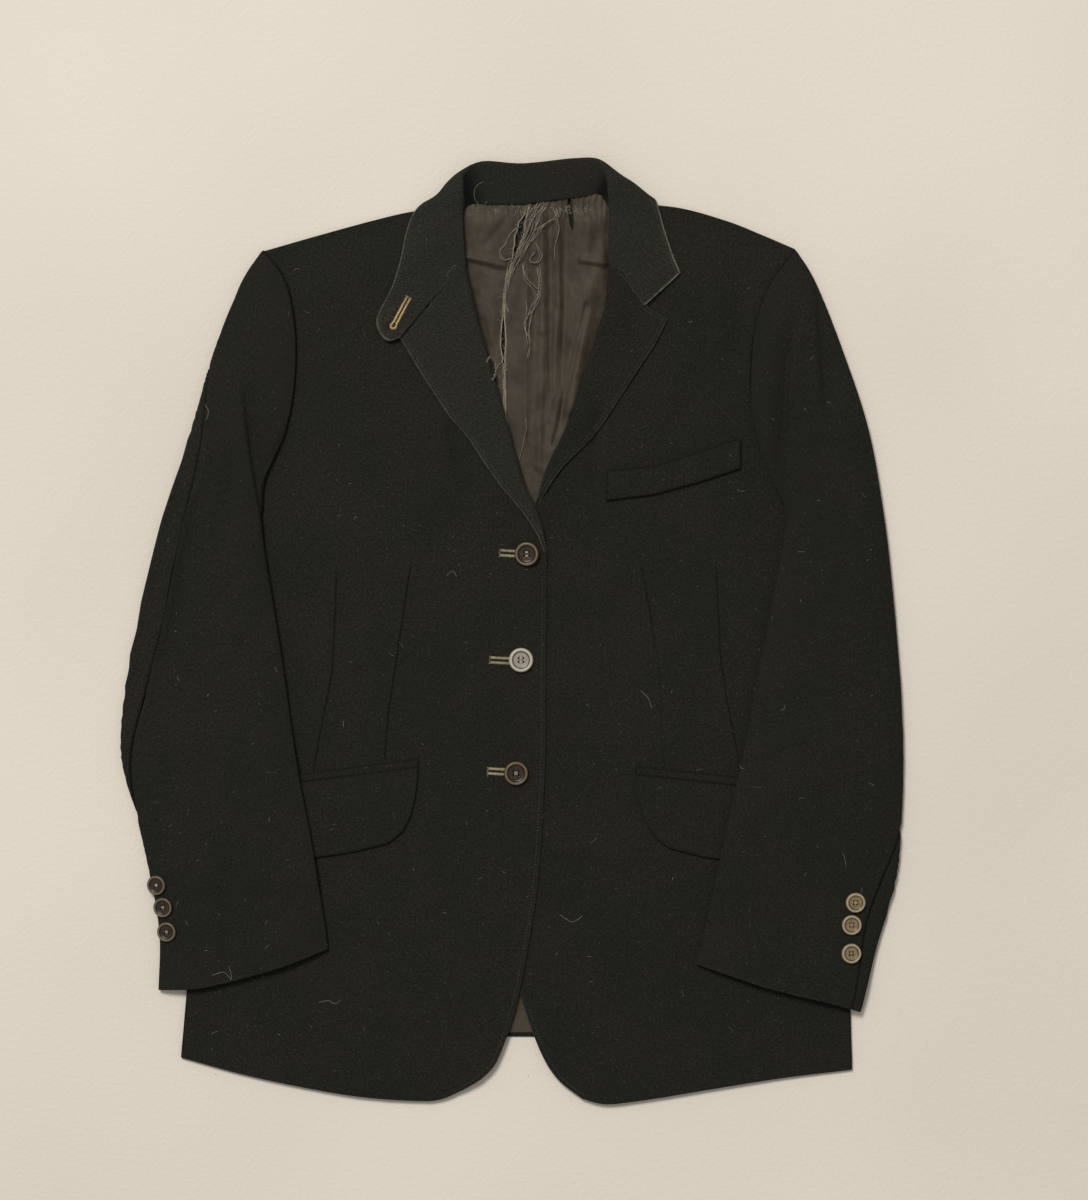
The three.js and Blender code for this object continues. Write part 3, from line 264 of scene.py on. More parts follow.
RIGHT_SLEEVE = Table(SLEEVE, (
    (-199.6, 305.2, -185.2, 153.6, 8.6, -0.03), (-216.4, 279.2, -193.6, 134.4, 11, -0.03),
    (-238.8, 223.2, -201.2, 112, 12.5, -0.02), (-257.2, 160.8, -198, 71.2, 13, 0.14),
    (-280.4, 88.8, -188.4, 12.8, 13, 0.17), (-296.4, 24.8, -181.2, -32.8, 12.5, 0.17),
    (-309.2, -40.8, -174.8, -79.2, 12, 0.13), (-313, -99.2, -167.6, -123.2, 12, 0.06),
    (-299.6, -151.2, -159.6, -164, 11.5, 0.0), (-289.2, -199.2, -153.2, -204, 11, -0.03),
    (-282, -244, -148.4, -234.4, 10.5, -0.03), (-282.8, -287.2, -146, -253.6, 10, -0.03)))
RIGHT_ARMHOLE = Table("x y", ((-199.6, 305.2), (-181.6, 280.8), (-174, 248.8), (-172.4, 216),
                              (-175.2, 184), (-181.6, 155.2)))
RIGHT_CUFF = Table("x y", ((-282.8, -287.2), (-254.8, -286), (-230, -281.2), (-185.2, -268.8),
                           (-146, -253.6)))
LEFT_SLEEVE = Table(SLEEVE, (
    (227.6, 305.8, 203.6, 139.2, 8.6, -0.03), (243.6, 279.2, 212.4, 116.8, 11, -0.03),
    (265.2, 224.8, 220.4, 92, 12.5, -0.03), (286, 160.8, 213.2, 50.4, 13, -0.03),
    (298.8, 88.8, 202, -5.6, 13, -0.03), (306, 24.8, 194.8, -44, 12.5, -0.03),
    (311.6, -40.8, 186.8, -87.2, 12, -0.03), (314, -99.2, 178.8, -123.2, 12, -0.02),
    (312.4, -155.2, 170.8, -159.2, 11.5, 0.0), (308.4, -199.2, 162, -199.2, 11, 0.085),
    (294.8, -247.2, 154.8, -232.8, 10.5, 0.115), (279.6, -304.8, 146.8, -265.6, 10, 0.108)))
LEFT_ARMHOLE = Table("x y", ((227.6, 305.8), (206.6, 276.8), (196.2, 248.8), (192.0, 215.2), (191.6, 183.2),
                             (194.8, 161.6), (199.8, 141.2)))
LEFT_CUFF = Table("x y", ((279.6, -304.8), (258.8, -298.4), (209.2, -286.4), (174.8, -275.2),
                          (146.8, -265.6)))
SLEEVE_TROUGHS = Table(FOLD, (
    (-261.2, 61.6, -262.8, 8.8, 8, 1.6), (-228.4, -191.2, -226.8, -275.2, 5, 2.2),
    (253.2, 272.8, 258, 191.2, 9, 1.8), (230.8, -55.2, 270.8, -79.2, 12, 1.2)))
# Lesser sleeve creases: at the crook of each arm, below the armholes and at the cuffs
FINE_SLEEVE_CREASES = Table(FOLD, (
    (-222, 140, -232, 60, 7, 0.9), (-206, 60, -236, 20, 6, 0.7), (-196, 10, -226, -30, 6, 0.8),
    (-186, -60, -222, -92, 6, 0.7), (-290, -60, -262, -110, 7, 0.6), (-270, -120, -244, -190, 8, 0.6),
    (-190, -170, -196, -240, 8, 0.5), (244, 150, 254, 60, 7, 0.9), (226, 60, 254, 20, 6, 0.8),
    (216, 0, 244, -34, 6, 0.8), (206, -70, 236, -104, 6, 0.7), (290, -20, 284, -110, 8, 0.7),
    (252, -130, 240, -220, 8, 0.6), (204, -150, 196, -230, 7, 0.6), (284, 150, 292, 90, 7, 0.6),
    (-242, 200, -245, 142, 4.5, -1.3), (-246, 138, -262, 90, 4.5, -1.6), (-263, 86, -279, 4, 5, -1.3),
    (-280, 0, -297, -80, 5, -1.0), (-264, 130, -286, 40, 7, 1.8), (-289, 30, -306, -60, 7, 1.4),
    (240.4, 288, 245.6, 226, 4.5, 1.5), (246, 222, 249.6, 180, 4.5, 1.3), (262, 240, 284, 140, 9, 1.0),
    (-228, 256, -222, 214, 6, 1.2), (-232, 100, -224, 20, 9, 0.8), (270, 110, 262, 20, 9, 0.8)))
WELT = "x top bottom"
BREAST_WELT = Table(WELT, ((76.4, 128, 104.8), (114, 131.2, 109.6), (149.2, 142.4, 119.2),
                           (182.8, 153.6, 130.4)))
RIGHT_FLAP = Table(WELT, (
    (-75.2, -109.6, -116), (-77.2, -109.6, -133.6), (-81.2, -110, -148.8), (-87.6, -110.8, -160.8),
    (-98.8, -112, -169.6), (-128.4, -116, -176.8), (-166, -120.8, -182.4), (-220.4, -127.2, -188.8)))
LEFT_FLAP = Table(WELT, (
    (100, -115.2, -121.6), (102, -115.2, -136.8), (106.8, -115.6, -151.2), (114.8, -116.8, -164.8),
    (126, -118, -173.6), (154.8, -121.2, -180.8), (190.8, -125.2, -185.6), (248.4, -132, -192.8)))
RIGHT_JETTING = Table(WELT, ((-74.8, -102.4, -108.8), (-121.2, -108.8, -114.8), (-166, -114.4, -120),
                             (-220.4, -120.8, -126.4)))
LEFT_JETTING = Table(WELT, ((99.6, -108.8, -114.4), (142.8, -113.2, -119.2), (182.8, -117.6, -123.6),
                            (248.4, -124.8, -131.2)))
POCKET_TOP = -96.8
POCKET_BOTTOM = -199.2
POCKET_RAMP = 16.0     # over which a sleeve climbs on the pocket
# Seam of each dart, from its upper point to its end at the pocket
DART = "y x"
RIGHT_DARTS = (
    Table(DART, ((52, -139.6), (18, -140.6), (-34, -143.4), (-80, -152.6), (-110.4, -158))),
    Table(DART, ((57, -79.2), (43, -81.8), (2, -88), (-39, -94.2), (-64, -98), (-101.6, -101.2))))
LEFT_DARTS = (
    Table(DART, ((56, 163.9), (-20, 167.4), (-55, 172.6), (-105.6, 182.8))),
    Table(DART, ((57, 102.8), (30, 108.4), (-28, 118.2), (-108, 122.6))))


def creases(rows: Table, x: Array, y: Array) -> Array:
    """Depth of soft troughs at plan points: the sum of a bell-shaped section round each straight line."""
    depth = np.zeros(np.broadcast(x, y).shape)
    for x0, y0, x1, y1, width, deep in rows.rows:
        along = ((x - x0) * (x1 - x0) + (y - y0) * (y1 - y0)) / ((x1 - x0) ** 2 + (y1 - y0) ** 2)
        along = np.clip(along, 0.0, 1.0)
        near = np.hypot(x - x0 - along * (x1 - x0), y - y0 - along * (y1 - y0))
        depth += deep * bell(near, width)
    return depth


@dataclass(frozen=True)
class Lap:
    """A fold that laps over its neighbour along a line that runs up and down: a step down on one side.

    The step falls within step_width millimetres and dies out sideways with the reach. On the other side the
    cloth swells by a share of the depth.
    """

    line: Table
    side: float
    reach: float
    lip: float = 1.3
    step_width: tuple[float, float] = (-0.7, 1.3)
    swell: float = 0.22
    swell_width: float = 7.0

    def depth(self, x: Array, y: Array) -> Array:
        """Depth at plan points: a sudden fall at the line, less the swell before it."""
        away = (x - self.line.at_level("x", y)) * self.side
        full = self.line.at_level("depth", y)
        fall = smooth(away, *self.step_width) * bell(np.maximum(away, 0.0), self.reach)
        swell = self.swell * self.lip * bell(np.minimum(away, 0.0), self.swell_width) * (away < 0)
        return full * (fall - swell)


# Where each sleeve's tube laps over its own upper part below the armhole, and the pressed ridge of each:
# along the right sleeve's hind-arm seam, and down from the left sleeve's head. They take turns: right, left
LAP = "y x depth"
SLEEVE_LAPS = (
    Lap(Table(LAP, ((196, -215.5, 0), (180, -214.2, 3.2), (160, -211.6, 5.4), (140.8, -209.2, 6),
                    (114.4, -204.6, 5), (92, -200.5, 3), (74, -198.5, 0))), 1.0, 13.0),
    Lap(Table(LAP, ((262, 233, 0), (246, 230.4, 2.2), (215, 223.4, 4.6), (185, 221, 5.6), (152.8, 221.2, 6.2),
                    (125, 219.6, 5.4), (100, 217.2, 3.4), (78, 214, 0))), -1.0, 12.0),
    Lap(Table(LAP, ((140, -245, 0), (126, -247.6, 1.6), (104, -257.6, 2.6), (50, -272, 2.8), (-2, -281, 2.6),
                    (-46, -291.4, 2.0), (-87, -300, 0))), -1.0, 16.0, 2.4),
    Lap(Table(LAP, ((292, 240, 0), (272, 242.6, 1.8), (252, 244.4, 2.6), (225, 246.4, 2.8), (191, 248.6, 2.0),
                    (160, 250, 0))), 1.0, 18.0, 2.4))


def unevenness(x: Array, y: Array, length: float, seed: int, waves: int = 7) -> Array:
    """Soft uneven surface from about -1 to 1: a sum of sines that run in seeded directions.

    Args:
        x, y: plan points.
        length: the waves' usual length.
        seed: of the directions, lengths and shifts.
        waves: how many sines are added.

    Returns:
        A height for each point.
    """
    draw = np.random.default_rng(seed)
    total = np.zeros(np.broadcast(x, y).shape)
    for _ in range(waves):
        turn, shift, scale = draw.uniform(0, math.tau), draw.uniform(0, math.tau), draw.uniform(0.7, 1.6)
        total += np.sin((x * math.cos(turn) + y * math.sin(turn)) * math.tau / (length * scale) + shift)
    return total / math.sqrt(waves * 2.0)


@dataclass(frozen=True)
class BodyForm:
    """Heights of the body's layers above the table that the coat lies on."""

    shoulder_y: float = 342.4
    shoulder_slope: float = 0.27
    neck_middle: float = 19.6
    neck_half: float = 77.0
    shoulder_ramp: float = 48.0
    side_power: float = 2.5
    # The raised neck rises from the right, sinks to the left and starts below the shoulders
    neck_right: tuple[float, float] = (-93.2, -60.4)
    neck_left: tuple[float, float] = (112.4, 138.8)
    neck_low: tuple[float, float] = (284.8, 322.4)
    overlap_edge: float = -23.6
    overlap_low: tuple[float, float] = (-152.8, -111.2)
    waves: tuple[tuple[float, float, int], ...] = ((0.5, 62.0, 11), (0.16, 21.0, 5))  # height, length, seed
    least_loft: float = 0.25
    dart_depth: float = 1.7
    dart_width: float = 0.6
    dart_fade: float = 10.0
    dart_end: float = 3.0
    dart_swell: float = 0.45
    dart_swell_width: float = 4.0

    def back_top(self, x: Array, y: Array) -> Array:
        """Upper side of the back: cloth on the table, raised at the neck over the folded collar."""
        across = smooth(x, *self.neck_right) * (1.0 - smooth(x, *self.neck_left))
        return CLOTH + NECK_LIFT * across * smooth(y, *self.neck_low)

    def loft(self, x: Array, y: Array) -> Array:
        """Gap between back and fronts, closed at the side seams and shoulders, less the troughs."""
        height, half = LOFT.at_level("height", y), LOFT.at_level("halfWidth", y)
        slope = np.maximum(0.0, np.abs(x - self.neck_middle) - self.neck_half)
        shoulder = self.shoulder_y - self.shoulder_slope * slope
        side = 1.0 - np.minimum(1.0, np.abs(x) / half) ** self.side_power
        full = height * side * smooth(shoulder - y, 0.0, self.shoulder_ramp)
        fine = creases(FINE_CREASES, x, y)
        for high, length, seed in self.waves:
            fine = fine - high * unevenness(x, y, length, seed)
        trough = creases(FRONT_TROUGHS, x, y) + fine * smooth(full, 0.3, 2.5)
        return np.maximum(full - trough, self.least_loft * full)

    def darts(self, lines: Sequence[Table], x: Array, y: Array) -> Array:
        """Depth of the darts: a narrow groove that fades out at the upper end, between two slight swells."""
        depth = np.zeros(np.broadcast(x, y).shape)
        for line in lines:
            from_seam = x - line.at_level("x", y)
            highest, lowest = line.rows[0][0], line.rows[-1][0]
            length = smooth(-y, -highest, self.dart_fade - highest)
            length = length * smooth(y, lowest - self.dart_end, lowest)
            groove = self.dart_depth * bell(from_seam, self.dart_width)
            depth += length * (groove - self.dart_swell * bell(from_seam, self.dart_swell_width))
        return depth

    def front_top(self, x: Array, y: Array) -> Array:
        """Upper side of a front that lies on the back, without darts."""
        return self.back_top(x, y) + SEAM_GAP + self.loft(x, y) + CLOTH

    def left_front_top(self, x: Array, y: Array) -> Array:
        """Upper side of the left front."""
        return self.front_top(x, y) - self.darts(LEFT_DARTS, x, y)

    def right_front_top(self, x: Array, y: Array) -> Array:
        """Upper side of the right front, which climbs on the left one towards its edge."""
        overlap = smooth(x, self.overlap_edge - OVERLAP_RAMP, self.overlap_edge)
        overlap = overlap * smooth(-y, *self.overlap_low)
        return self.front_top(x, y) + (CLOTH + SEAM_GAP) * overlap - self.darts(RIGHT_DARTS, x, y)


FORM = BodyForm()


def to_linear(colour: str) -> tuple[float, float, float, float]:
    """Linear colour for Blender from an sRGB hex value such as "24231f"."""
    parts = [int(colour[i:i + 2], 16) / 255.0 for i in (0, 2, 4)]
    return (*(p / 12.92 if p <= 0.04045 else ((p + 0.055) / 1.055) ** 2.4 for p in parts), 1.0)


class Nodes:
    """A new material and its shader nodes. Colours are sRGB hex values or sockets."""

    def __init__(self, name: str) -> None:
        """Starts with no nodes."""
        self.material = bpy.data.materials.new(name)
        self.material.use_nodes = True
        self.tree = self.material.node_tree
        self.tree.nodes.clear()

    def add(self, kind: str, settings: dict | None = None, inputs: dict | None = None) -> bpy.types.Node:
        """Adds a shader node.

        Args:
            kind: Blender's name of the node, without "ShaderNode".
            settings: the node's own settings.
            inputs: for each input, by name or number, a value or the socket that feeds it.

        Returns:
            The new node.
        """
        node = self.tree.nodes.new("ShaderNode" + kind)
        for name, value in (settings or {}).items():
            setattr(node, name, value)
        for name, value in (inputs or {}).items():
            if isinstance(value, Socket):
                self.tree.links.new(value, node.inputs[name])
            else:
                node.inputs[name].default_value = value
        return node

    def cloth(self) -> Socket:
        """Place on the flat cloth."""
        return self.add("UVMap", {"uv_map": "cloth"}).outputs[0]

    def place(self) -> Socket:
        """Place in the object's own coordinates."""
        return self.add("TexCoord").outputs["Object"]

    def wear(self) -> Socket:
        """The points' wear: above 0 where worn, below 0 where painted shade darkens them."""
        return self.add("Attribute", {"attribute_name": "wear"}).outputs["Fac"]

    def mapped(self, vector: Socket, setting: str, value: tuple[float, float, float]) -> Socket:
        """A vector after one setting of a mapping, such as its scale."""
        return self.add("Mapping", {}, {"Vector": vector, setting: value}).outputs[0]

    def math(self, operation: str, *values: object) -> Socket:
        """Result of a sum or a product of values or sockets."""
        return self.add("Math", {"operation": operation}, dict(enumerate(values))).outputs[0]

    def blend(self, share: object, first: object, second: object) -> Socket:
        """Colour that goes from first to second as share goes from 0 to 1."""
        first, second = (to_linear(c) if isinstance(c, str) else c for c in (first, second))
        return self.add("Mix", {"data_type": "RGBA"}, {0: share, 6: first, 7: second}).outputs[2]

    def ranged(self, value: object, start: float, end: float, low: float = 0.0, high: float = 1.0) -> Socket:
        """Value that goes from low to high as another goes from start to end."""
        return self.add("MapRange", {}, {0: value, 1: start, 2: end, 3: low, 4: high}).outputs[0]

    def noise(self, vector: object, grain_mm: float, detail: float = 2.0, roughness: float = 0.5) -> Socket:
        """Noise whose spots are about grain_mm across, from 0 to 1."""
        inputs = {"Vector": vector, "Scale": 1.0 / (grain_mm * MM), "Detail": detail, "Roughness": roughness}
        return self.add("TexNoise", {}, inputs).outputs[0]

    def finished(self, height: object, bump_mm: float, surface: dict) -> bpy.types.Material:
        """The material, with a bump, the surface shader and the output added."""
        bump = self.add("Bump", {}, {"Height": height, "Distance": bump_mm * MM, "Strength": 1.0})
        shader = self.add("BsdfPrincipled", {}, {**surface, "Normal": bump.outputs[0]})
        self.add("OutputMaterial", {}, {"Surface": shader.outputs[0]})
        return self.material


@dataclass(frozen=True)
class WoolTwill:
    """Fulled wool twill, woven and pressed: close diagonal lines under a short fuzz that scatters the light,
    so it looks deep and dull, paler where an edge has worn (wear above zero) and darkened by painted shade in
    the seams and on the collar's stand (wear below zero).

    The real lines are about 0.7 mm apart. They are drawn 1.7 mm apart, because finer ones don't show.
    """

    name: str
    ground: str
    raised: str
    brown: str
    brown_raised: str
    worn: str
    speck: str = "6f6a5e"
    # Near black for painted shade, where wear is below zero
    painted_shade: str = "030303"
    line_mm: float = 1.7
    line_turn: float = 63.0

    def build(self) -> bpy.types.Material:
        """The material: the weave lightens two tones that change over in soft patches."""
        nodes = Nodes(self.name)
        flat, place, wear = nodes.cloth(), nodes.place(), nodes.wear()
        turned = nodes.mapped(flat, "Rotation", (0.0, 0.0, math.radians(self.line_turn)))
        # A band of the wave node is a full turn of 20 times its scale
        lines = nodes.add("TexWave", {"wave_type": "BANDS", "bands_direction": "X"}, {
            "Vector": turned, "Scale": math.tau / (20.0 * self.line_mm * MM), "Distortion": 2.2,
            "Detail": 2.0, "Detail Scale": 1.3}).outputs[1]
        threads = nodes.ranged(lines, 0.0, 1.0, 0.0, 0.3)
        weave = nodes.math("MULTIPLY_ADD", nodes.noise(flat, 1.9, 4.0, 0.75), 3.2, threads)
        share = nodes.ranged(weave, 1.1, 2.4)
        black = nodes.blend(share, self.ground, self.raised)
        brown = nodes.blend(share, self.brown, self.brown_raised)
        patches = nodes.ranged(nodes.noise(place, 64.0, 3.0, 0.55), 0.38, 0.68)
        specks = nodes.ranged(nodes.noise(place, 1.7, 0.0), 0.77, 0.85, 0.0, 0.16)
        speckled = nodes.blend(specks, nodes.blend(patches, black, brown), self.speck)
        uneven = nodes.ranged(nodes.noise(place, 3.2, 2.0, 0.6), 0.3, 0.6, 0.25, 1.0)
        colour = nodes.blend(nodes.math("MULTIPLY", wear, uneven), speckled, self.worn)
        # Painted shade: wear below zero darkens the colour towards near black
        colour = nodes.blend(nodes.ranged(wear, 0.0, -1.0), colour, self.painted_shade)
        return nodes.finished(weave, 0.1, {
            "Base Color": colour, "Roughness": 0.9, "Specular IOR Level": 0.12, "Sheen Weight": 0.06,
            "Sheen Roughness": 0.4, "Sheen Tint": to_linear("b8b2a2")})


@dataclass(frozen=True)
class CottonLining:
    """Twill cotton sleeve lining, glazed once and now limp: thin threads with a low sheen along the folds,
    stained in soft patches and pilled where it has rubbed.
    """

    name: str
    ground: str
    stained: str
    pale: str
    worn: str = "a39a86"

    def build(self) -> bpy.types.Material:
        """The material."""
        nodes = Nodes(self.name)
        place = nodes.place()
        threads = nodes.noise(nodes.mapped(nodes.cloth(), "Scale", (1.0, 0.12, 1.0)), 0.8, 2.0, 0.6)
        base = nodes.blend(nodes.ranged(threads, 0.15, 0.85), self.ground, self.pale)
        stains = nodes.ranged(nodes.noise(place, 26.0, 3.0, 0.6), 0.4, 0.66, 0.0, 0.8)
        stained = nodes.blend(stains, base, self.stained)
        colour = nodes.blend(nodes.ranged(nodes.wear(), 0.2, 1.0, 0.0, 0.7), stained, self.worn)
        pilled = nodes.math("ADD", threads, nodes.noise(place, 2.2, 2.0, 0.6))
        return nodes.finished(pilled, 0.12, {
            "Base Color": colour, "Roughness": 0.7, "Specular IOR Level": 0.25, "Sheen Weight": 0.1,
            "Sheen Roughness": 0.35, "Sheen Tint": to_linear("d6cdbd")})


@dataclass(frozen=True)
class PolishedHorn:
    """Turned and polished horn, or nut: a hard smooth skin with clouded streaks inside it. Wear above zero
    pales its rim, as wear and a painted highlight, and below zero it is painted shade in the holes and the
    turned ring.
    """

    name: str
    ground: str
    streak: str
    # Colour of the rim: worn, and a painted highlight
    rim: str
    # Painted shade in the holes and the turned ring
    painted_hollow_shade: str
    roughness: float = 0.34

    def build(self) -> bpy.types.Material:
        """The material."""
        nodes = Nodes(self.name)
        place, wear = nodes.place(), nodes.wear()
        streaks = nodes.noise(nodes.mapped(place, "Scale", (1.0, 0.35, 1.0)), 2.6, 4.0, 0.65)
        body = nodes.blend(nodes.ranged(streaks, 0.35, 0.7), self.ground, self.streak)
        # Paler rim where wear is above zero: worn, and a painted highlight
        rimmed = nodes.blend(nodes.ranged(wear, 0.0, 1.0), body, self.rim)
        # Painted shade in the holes and the turned ring, where wear is below zero
        with_hollow_shade = nodes.blend(nodes.ranged(wear, 0.0, -1.0), rimmed, self.painted_hollow_shade)
        scratches = nodes.noise(place, 0.5, 2.0, 0.6)
        return nodes.finished(scratches, 0.03, {
            "Base Color": with_hollow_shade, "Roughness": self.roughness, "IOR": 1.54, "Specular IOR Level": 0.3})


@dataclass(frozen=True)
class Thread:
    """Spun thread: a matt twisted yarn that catches light along one side."""

    name: str
    ground: str
    lit: str

    def build(self) -> bpy.types.Material:
        """The material."""
        nodes = Nodes(self.name)
        place = nodes.place()
        twist = nodes.noise(place, 0.8, 2.0, 0.6)
        share = nodes.ranged(nodes.math("MULTIPLY", twist, nodes.noise(place, 9.0)), 0.12, 0.36)
        return nodes.finished(twist, 0.1, {
            "Base Color": nodes.blend(share, self.ground, self.lit), "Roughness": 0.75,
            "Specular IOR Level": 0.25, "Sheen Weight": 0.2, "Sheen Roughness": 0.5})


@dataclass(frozen=True)
class PaintedBoard:
    """Matt painted board with the low orange-peel relief of a roller."""

    name: str
    ground: str
    shaded: str

    def build(self) -> bpy.types.Material:
        """The material."""
        nodes = Nodes(self.name)
        place = nodes.place()
        tone = nodes.ranged(nodes.noise(place, 300.0, 1.0, 0.4), 0.3, 0.7)
        return nodes.finished(nodes.noise(place, 3.4), 0.35, {
            "Base Color": nodes.blend(tone, self.ground, self.shaded), "Roughness": 0.8,
            "Specular IOR Level": 0.3})


class Finish(Enum):
    """The coat's finishes."""

    WOOL = WoolTwill("wool_twill", "0b0c09", "262721", "0e0d0a", "2b2821", "414237")
    COLLAR_WOOL = WoolTwill("wool_twill_collar", "12130f", "2e2f29", "141310", "322f28", "68685c")
    LINING = CottonLining("cotton_lining", "383127", "2b251e", "494136")
    DARK_BUTTON = PolishedHorn("horn_dark", "1f1811", "392e22", "75644b", "060504")
    TAN_BUTTON = PolishedHorn("horn_tan", "6b5b42", "8c7a5c", "a99b82", "15100a")
    GREY_BUTTON = PolishedHorn("horn_grey", "857e72", "9d9587", "bfb7a7", "14110e", 0.4)
    EDGE_THREAD = Thread("thread_edge", "23231e", "3d3c33")
    HOLE_THREAD = Thread("thread_buttonhole", "6f654d", "a89c7c")
    PALE_THREAD = Thread("thread_pale", "8f887a", "b5ad9c")
    GOLD_THREAD = Thread("thread_keyhole", "8c7446", "c6ab75")
    FRAYED_THREAD = Thread("thread_frayed", "575246", "857e6e")
    LINT = Thread("lint", "5a574f", "8d897e")

    def material(self) -> bpy.types.Material:
        """This finish's material, made once."""
        return bpy.data.materials.get(self.value.name) or self.value.build()


@dataclass
class Mesh:
    """Points in millimetres and faces, with a flat place on the cloth and a share of wear for each point,
    which below zero is painted shade.

    A face has four corners. A triangle names one of its corners twice in a row.
    """

    points: Array
    faces: Array
    flat: Array
    wear: Array

    def place(self, name: str, finish: Finish, slot: str, replaced: Sequence[str] = ()) -> Piece:
        """Makes the Blender object.

        Args:
            name: the piece's name.
            finish: its finish.
            slot: the material slot of the record that it takes its finish from; not used.
            replaced: nodes of the frame that it stands for.

        Returns:
            The object, which rides on the coat's one body.
        """
        mesh = bpy.data.meshes.new(name)
        faces = [list(dict.fromkeys(face)) for face in self.faces.tolist()]
        mesh.from_pydata((self.points * MM).tolist(), [], faces)
        corners = np.zeros(len(mesh.loops), np.int32)
        mesh.loops.foreach_get("vertex_index", corners)
        mesh.uv_layers.new(name="cloth").data.foreach_set("uv", (self.flat[corners] * MM).ravel())
        mesh.attributes.new("wear", "FLOAT", "POINT").data.foreach_set("value", self.wear.astype(np.float32))
        mesh.polygons.foreach_set("use_smooth", np.ones(len(mesh.polygons), bool))
        mesh.materials.append(finish.material())
        mesh.update()
        piece = bpy.data.objects.new(name, mesh)
        bpy.context.scene.collection.objects.link(piece)
        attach(piece, "root")
        if replaced:
            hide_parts(*replaced)
        log.info("%s: %d faces", name, len(self.faces))
        return piece

    @staticmethod
    def joined(parts: Sequence[Mesh]) -> Mesh:
        """Several meshes with equal kinds of faces as one."""
        starts = np.cumsum([0] + [len(part.points) for part in parts[:-1]])
        return Mesh(np.concatenate([part.points for part in parts]),
                    np.concatenate([part.faces + start for part, start in zip(parts, starts)]),
                    np.concatenate([part.flat for part in parts]),
                    np.concatenate([part.wear for part in parts]))


def edge_loop(rows: int, columns: int) -> Array:
    """Numbers of a grid's points round its border, in order."""
    return np.concatenate([
        np.arange(columns), np.arange(1, rows) * columns + columns - 1,
        (rows - 1) * columns + np.arange(columns - 2, -1, -1), np.arange(rows - 2, 0, -1) * columns])


def offset(grid: Array, distance: float) -> Array:
    """A grid of points moved along its normals, which are the cross product of its two directions."""
    return grid + distance * unit(np.cross(np.gradient(grid, axis=0), np.gradient(grid, axis=1)))


def from_edges(grid: Array, edges: str) -> Array:
    """Distance of each point of a grid from the nearest of some edges, along the grid's own lines.

    Args:
        grid: points in rows and columns.
        edges: letters of the edges that count: f and l for the first and last row, s and e for the columns
            that start and end the rows.

    Returns:
        A distance for each point.
    """
    nearest = np.full(grid.shape[:2], 1e9)
    for axis, (start, end) in enumerate(("fl", "se")):
        steps = np.diff(grid, axis=axis, prepend=np.take(grid, [0], axis))
        length = np.cumsum(np.linalg.norm(steps, axis=-1), axis=axis)
        if start in edges:
            nearest = np.minimum(nearest, length)
        if end in edges:
            nearest = np.minimum(nearest, np.take(length, [-1], axis) - length)
    return nearest


def shell(outer: Array, inner: Array, flat: Array, worn: str = "", wear_width: float = 1.3,
          fade: Array | float = 1.0, sewn: str = "") -> Mesh:
    """Closed shell of cloth between two grids of points, with rounded rims.

    The rim is a half ellipse from the upper to the lower side, which bulges out by a third of the cloth. Wear
    falls off with the square of the distance from the worn edges.

    Args:
        outer: the upper side's points in rows and columns.
        inner: the lower side's points.
        flat: plan places on the flat cloth, for the weave.
        worn: letters of the worn edges, as from_edges has them.
        wear_width: how far the wear reaches in.
        fade: share of the wear that stays, for all points or each.
        sewn: letters of the edges that meet another piece in a seam, where painted shade darkens the cloth.

    Returns:
        The mesh, with its faces outwards.
    """
    rows, columns = outer.shape[:2]
    loop = edge_loop(rows, columns)
    r, c = np.divmod(loop, columns)
    inward = np.clip(r, 1, rows - 2) * columns + np.clip(c, 1, columns - 2)
    top, low = outer.reshape(-1, 3), inner.reshape(-1, 3)
    half = (top[loop] - low[loop]) / 2.0
    bulge = np.linalg.norm(half, axis=-1, keepdims=True) * RIM_BULGE * unit(top[loop] - top[inward])
    turns = [math.pi * (k + 1) / (RIM_STEPS + 1) for k in range(RIM_STEPS)]
    rim = [(top[loop] + low[loop]) / 2.0 + math.cos(t) * half + math.sin(t) * bulge for t in turns]
    count = rows * columns
    at = (np.arange(rows - 1)[:, None] * columns + np.arange(columns - 1)).ravel()
    upper = np.stack([at, at + columns, at + columns + 1, at + 1], axis=1)
    faces = [upper, upper[:, ::-1] + count]
    between = [2 * count + k * len(loop) + np.arange(len(loop)) for k in range(RIM_STEPS)]
    around = [loop, *between, loop + count]
    for ring, following in zip(around[:-1], around[1:]):
        faces.append(np.stack([ring, np.roll(ring, -1), np.roll(following, -1), following], axis=1))
    points = np.concatenate([top, low, *rim])
    quads = np.concatenate(faces)
    a, b, c, d = (points[quads[:, k]] for k in range(4))
    if np.einsum("ij,ij->", a, np.cross(b, c) + np.cross(c, d)) < 0:
        quads = quads[:, ::-1]  # the volume that they close in is negative: they look inwards
    wear = fade * bell(from_edges(outer, worn), wear_width) * np.ones((rows, columns))
    # Painted shade along the sewn edges: the wear goes below zero there
    wear = (wear - PAINTED_SEAM_SHADE * bell(from_edges(outer, sewn), PAINTED_SHADE_WIDTH)).ravel()
    spread = flat.reshape(-1, 2)
    return Mesh(points, quads, np.concatenate([spread, spread] + [spread[loop]] * RIM_STEPS),
                np.concatenate([wear, wear * LOWER_WEAR] + [wear[loop]] * RIM_STEPS))


